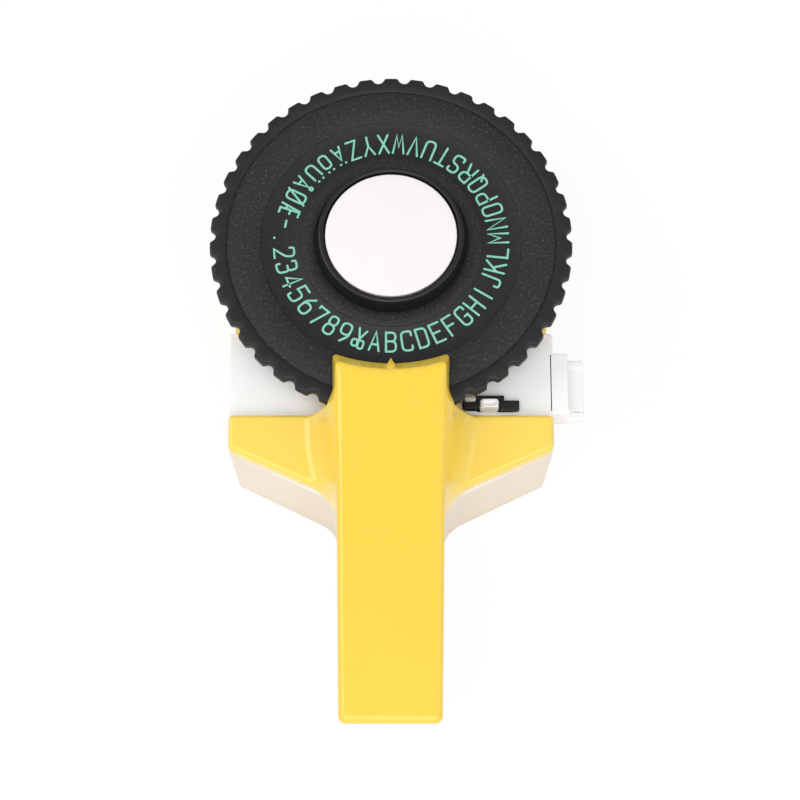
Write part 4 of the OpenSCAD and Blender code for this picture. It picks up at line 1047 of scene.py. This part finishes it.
class EMBOSSER_OT_lever(Operator):
    """Builds the white squeeze lever."""

    bl_idname = "embosser.lever"
    bl_label = "Lever"

    def execute(self, context):
        white = moulded_finish("White lever moulding", context.scene.embosser_colours.white, 0.36, 0.05, 0.0)
        field = self.field(context.scene.embosser_body.lever_edge / MM)
        add_moulding("squeeze_lever", field, (-9.6, -100.1, 0.9), (11.1, -18.5, 11.6), 0.5,
                     white, "lever", ["trigger_lever"])
        return {"FINISHED"}

    def field(self, edge):
        """The lever: wider at its grip, hollow under the grip, with a tab for the crank."""
        side = rounded_outline([
            (-18.6, 11.5, 2.0), (-69.0, 11.5, 8.0), (-100.0, 8.5, 2.5), (-100.0, 1.0, 2.5),
            (-73.0, 1.0, 4.0), (-68.0, 3.0, 4.0), (-18.6, 3.0, 2.0)])
        arm_half, grip_more = 9.0, 0.5
        hollow_front, hollow_top = -74.0, 6.0
        tab = ((7.0, -38.3, 6.0), (11.0, -36.7, 11.2), 0.2)

        def field(x, y, z):
            half = arm_half + grip_more * ease(-y, 66.0, 6.0)
            profile = outline_field(y, z, side)
            out = round_both(profile, np.abs(x) - half, edge)
            hollow = round_both(profile + 2.4, np.abs(x) - half + 2.2, 0.8)
            out = carve(out, np.maximum(np.maximum(hollow, z - hollow_top), y - hollow_front), 0.3)
            return np.minimum(out, block(x, y, z, *tab))

        return field


class EMBOSSER_OT_feed(Operator):
    """Builds the black tape feed piece, its white post and its grey dome."""

    bl_idname = "embosser.feed"
    bl_label = "Tape feed"

    def execute(self, context):
        hues = context.scene.embosser_colours
        black = satin_black("Feed black", [0.45 * c for c in hues.charcoal], 0.5)
        white = moulded_finish("White post moulding", hues.white, 0.4, 0.04, 0.0)
        grey = moulded_finish("Grey dome", hues.grey, 0.35, 0.03, 0.0)
        add_moulding("feed_shoe", self.shoe, (16.9, -38.7, 23.8), (30.1, -31.9, 28.7), 0.2,
                     black, "slider", ["feed_slider"])
        add_moulding("feed_post", self.post, (9.4, -38.5, 9.0), (26.6, -36.1, 29.9), 0.28,
                     white, "crank", ["feed_crank"])
        add_moulding("feed_dome", self.dome, (17.1, -36.8, 28.4), (19.9, -35.1, 29.5), 0.12,
                     grey, "slider", ["slider_rivet"])
        return {"FINISHED"}

    @staticmethod
    def shoe(x, y, z):
        """The black shoe on the deck, with its foot below the deck."""
        low, top = 27.1, 28.6
        return blocks(x, y, z, (
            ((17.0, -38.1, low), (20.53, -35.1, top), 0.15),
            ((25.47, -38.6, low), (30.0, -36.3, top), 0.15),
            ((20.0, -36.0, low), (26.47, -35.1, top), 0.15),
            ((25.47, -37.6, low), (26.47, -35.1, top), 0.15),
            ((17.0, -38.1, 23.95), (20.0, -36.0, 27.6), 0.1),
            ((17.0, -38.1, 23.95), (20.0, -32.0, 24.85), 0.1)))

    @staticmethod
    def dome(x, y, z):
        """A ridge with rounded ends and a rounded back."""
        centre, straight, radius, foot = (18.5, -35.95, 28.6), 0.9, 0.75, 28.5
        along = np.maximum(np.abs(x - centre[0]) - straight, 0.0)
        ridge = np.sqrt(along ** 2 * 2.7 + (y - centre[1]) ** 2 + (z - centre[2]) ** 2) - radius
        return round_both(ridge, foot - z, 0.05)

    @staticmethod
    def post(x, y, z):
        """The crank: a hub with its bore, the arm to the lever, and the post with its barrel-shaped head."""
        pivot_x, pivot_z = 23.0, 13.0
        near, far = -38.4, -36.2
        head_z, head_half, head_tall, head_mean = 27.45, 2.22, 2.35, 2.28
        turn = np.hypot(x - pivot_x, z - pivot_z)
        out = round_both(turn - 3.5, between(y, near, far), 0.25)
        out = np.minimum(out, blocks(x, y, z, (
            ((21.5, near, pivot_z), (24.5, far, 26.5), 0.3),
            ((9.5, near, 11.5), (pivot_x, far, 14.5), 0.3))))
        swell = (np.abs(x - pivot_x) / head_half) ** 4 + (np.abs(z - head_z) / head_tall) ** 4
        head = round_both(swell ** 0.25 * head_mean - head_mean, between(y, near, far), 0.3)
        dent = block(x, y, z, (21.6, near + 0.55, 29.35), (24.4, far - 0.55, 31.0), 0.2)
        out = round_either(out, carve(head, dent, 0.12), 0.4)
        return carve(out, turn - 1.55, 0.1)


class EMBOSSER_OT_cover(Operator):
    """Builds the cover of the tape bay with its hinge and spindle."""

    bl_idname = "embosser.cover"
    bl_label = "Tape cover"

    def execute(self, context):
        hues = context.scene.embosser_colours
        yellow = moulded_finish("Yellow cover moulding", hues.yellow, 0.3, 0.05, 0.2)
        add_moulding("bay_cover", self.field, (-22.4, -16.4, 0.0), (22.4, 31.9, 10.6), 0.5,
                     yellow, "cover", ["tape_cover"])
        return {"FINISHED"}

    @staticmethod
    def field(x, y, z):
        """A round lid with a hinge tongue, the spindle, a thumb hollow and a fine ring groove."""
        radius, thick = 22.3, 2.0
        bore, spindle, collar = 6.7, 8.7, 10.5
        thumb, thumb_radius = (-16.3, -4.1), 5.0
        r = np.hypot(x, y - BAY_Y)
        out = round_both(r - radius, between(z, 0.0, thick), 0.4)
        out = np.minimum(out, block(x, y, z, (-8.0, 24.3, 0.1), (8.0, 30.3, thick), 0.2))
        out = np.minimum(out, lying(x, y, z, HINGE_YZ, HINGE_RADIUS, -8.0, 8.0))
        out = np.minimum(out, round_both(between(r, bore, spindle), between(z, 1.0, 10.5), 0.4))
        out = np.minimum(out, round_both(between(r, bore, collar), between(z, 1.0, 2.4), 0.1))
        hollow = np.sqrt(x ** 2 + (y - thumb[0]) ** 2 + (z - thumb[1]) ** 2) - thumb_radius
        out = carve(out, hollow, 0.2)
        return carve(out, np.maximum(np.abs(r - 19.6) - 0.35, z - 0.35), 0.15)


class EMBOSSER_OT_finishes(Operator):
    """Gives the CAD pieces that stay in view their finishes."""

    bl_idname = "embosser.finishes"
    bl_label = "Finishes of the CAD pieces"

    def execute(self, context):
        hues = context.scene.embosser_colours
        made = {
            "yellow_plastic": moulded_finish("Yellow plate", hues.yellow, 0.3, 0.05, 0.2),
            "white_plastic": moulded_finish("White plate", hues.white, 0.4, 0.05, 0.0),
            "white_gloss": moulded_finish("White gloss plate", hues.disc, 0.3, 0.02, 0.1),
            "black_plastic": satin_black("Die black", hues.charcoal, 0.45),
            "grey_plastic": moulded_finish("Grey plate", hues.grey, 0.4, 0.03, 0.0),
            "steel": metal_finish("Zinc plated steel", hues.steel, 0.34),
            "brass": metal_finish("Turned brass", hues.brass, 0.3),
            "rubber": satin_black("Pad rubber", hues.rubber, 0.75),
            "tape": moulded_finish("Blue tape", hues.tape, 0.3, 0.03, 0.2),
        }
        for part in frame["record"]["subparts"]:
            mesh = frame["nodes"][part["node"]].data
            mesh.materials.clear()
            mesh.materials.append(made[part["material_slot"]])
        return {"FINISHED"}


class EMBOSSER_OT_stage(Operator):
    """Adds the camera, the soft lights, the pale floor and the background."""

    bl_idname = "embosser.stage"
    bl_label = "Stage"

    def execute(self, context):
        self.camera(context.scene)
        self.lights(context.scene)
        self.floor(context.scene)
        self.sky(context.scene)
        context.scene.view_settings.view_transform = "Standard"
        return {"FINISHED"}

    def camera(self, scene):
        """The photograph's view: its place, tilt and focal length for a square picture."""
        focal_pixels, picture_pixels = 2610.0, 800.0
        elevation = 70.5
        data = bpy.data.cameras.new("photo_camera")
        data.sensor_width = 36.0
        data.lens = focal_pixels / picture_pixels * data.sensor_width
        camera = bpy.data.objects.new("photo_camera", data)
        camera.location = (0.0021, -0.240, 0.604)
        camera.rotation_euler = (math.radians(90.0 - elevation), 0.0, 0.0)
        scene.collection.objects.link(camera)
        scene.camera = camera

    def lights(self, scene):
        """Square soft lamps (name, place, size, power) that look at the handle's middle."""
        aim = Vector((0.0, -0.03, 0.02))
        for name, place, size, power in (
                ("left_softbox", (-0.60, 0.08, 0.58), 0.50, 1.8),
                ("key_softbox", (0.0, -0.50, 0.95), 0.95, 6.4),
                ("right_fill", (0.66, -0.10, 0.46), 0.60, 1.0),
                ("rear_fill", (-0.10, -0.90, 0.28), 0.8, 1.2)):
            data = bpy.data.lights.new(name, "AREA")
            data.energy = power
            data.size = size
            lamp = bpy.data.objects.new(name, data)
            lamp.location = place
            lamp.rotation_euler = (aim - Vector(place)).to_track_quat("-Z", "Y").to_euler()
            scene.collection.objects.link(lamp)

    def floor(self, scene):
        """A pale floor just below the base, near white to the camera, which keeps the shadow."""
        half = 4.0
        plan = [(-half, -half, 0), (half, -half, 0), (half, half, 0), (-half, half, 0)]
        mesh = bpy.data.meshes.new("pale_floor")
        mesh.from_pydata(plan, [], [(0, 1, 2, 3)])
        floor = bpy.data.objects.new("pale_floor", mesh)
        floor.location.z = -0.0002
        scene.collection.objects.link(floor)
        f = new_finish("Pale floor")
        f.shade(Base_Color=(*scene.embosser_colours.floor, 1.0), Roughness=0.8)
        glow = f.node("ShaderNodeEmission", {}, {"Color": (1.0, 1.0, 1.0, 1.0), "Strength": 1.02})
        mixed = f.node("ShaderNodeMixShader", {}, [self.seen(f) * 0.86, f.first("Principled BSDF"), glow])
        f.close("Material Output", mixed)
        mesh.materials.append(f.owner)

    def sky(self, scene):
        """An even pale surround, white where the camera sees it and dimmer in reflections."""
        scene.world = bpy.data.worlds.new("pale_surround")
        f = Finish(scene.world)
        dim = f.tree.nodes["Background"]
        f.feed(dim.inputs["Color"], (0.98, 0.99, 1.0, 1.0))
        f.feed(dim.inputs["Strength"], 0.42)
        white = (1.0, 1.0, 1.0, 1.0)
        bright = f.node("ShaderNodeBackground", {}, {"Color": white, "Strength": 1.0})
        gloss = f.node("ShaderNodeBackground", {}, {"Color": white, "Strength": 0.38})
        glossy_ray = f.node("ShaderNodeLightPath", output="Is Glossy Ray")
        lit = f.node("ShaderNodeMixShader", {}, [glossy_ray, f.first("Background"), gloss])
        f.close("World Output", f.node("ShaderNodeMixShader", {}, [self.seen(f), lit, bright]))

    def seen(self, f):
        """1 for rays straight from the camera."""
        return f.node("ShaderNodeLightPath", output="Is Camera Ray")


class EMBOSSER_PT_panel(Panel):
    """Lists the steps of the embosser in the sidebar."""

    bl_idname = "EMBOSSER_PT_panel"
    bl_label = "Label Embosser"
    bl_space_type = "VIEW_3D"
    bl_region_type = "UI"
    bl_category = "Embosser"

    def draw(self, context):
        scene = context.scene
        for step in STEPS:
            self.layout.operator(step.bl_idname)
        for group in (scene.embosser_dial, scene.embosser_body, scene.embosser_colours):
            for key in group.__annotations__:
                self.layout.prop(group, key)


GROUPS = (EmbosserDialSizes, EmbosserBodySizes, EmbosserColours)
STEPS = (
    EMBOSSER_OT_stage, EMBOSSER_OT_finishes, EMBOSSER_OT_dial, EMBOSSER_OT_handle, EMBOSSER_OT_case,
    EMBOSSER_OT_lever, EMBOSSER_OT_feed, EMBOSSER_OT_cover)


def register():
    for item in GROUPS + STEPS + (EMBOSSER_PT_panel,):
        bpy.utils.register_class(item)
    bpy.types.Scene.embosser_dial = PointerProperty(type=EmbosserDialSizes)
    bpy.types.Scene.embosser_body = PointerProperty(type=EmbosserBodySizes)
    bpy.types.Scene.embosser_colours = PointerProperty(type=EmbosserColours)


def unregister():
    del bpy.types.Scene.embosser_colours
    del bpy.types.Scene.embosser_body
    del bpy.types.Scene.embosser_dial
    for item in reversed(GROUPS + STEPS + (EMBOSSER_PT_panel,)):
        bpy.utils.unregister_class(item)


def main():
    register()
    bpy.ops.embosser.stage()
    bpy.ops.embosser.finishes()
    bpy.ops.embosser.dial()
    bpy.ops.embosser.handle()
    bpy.ops.embosser.case()
    bpy.ops.embosser.lever()
    bpy.ops.embosser.feed()
    bpy.ops.embosser.cover()


if __name__ == "__main__":
    main()
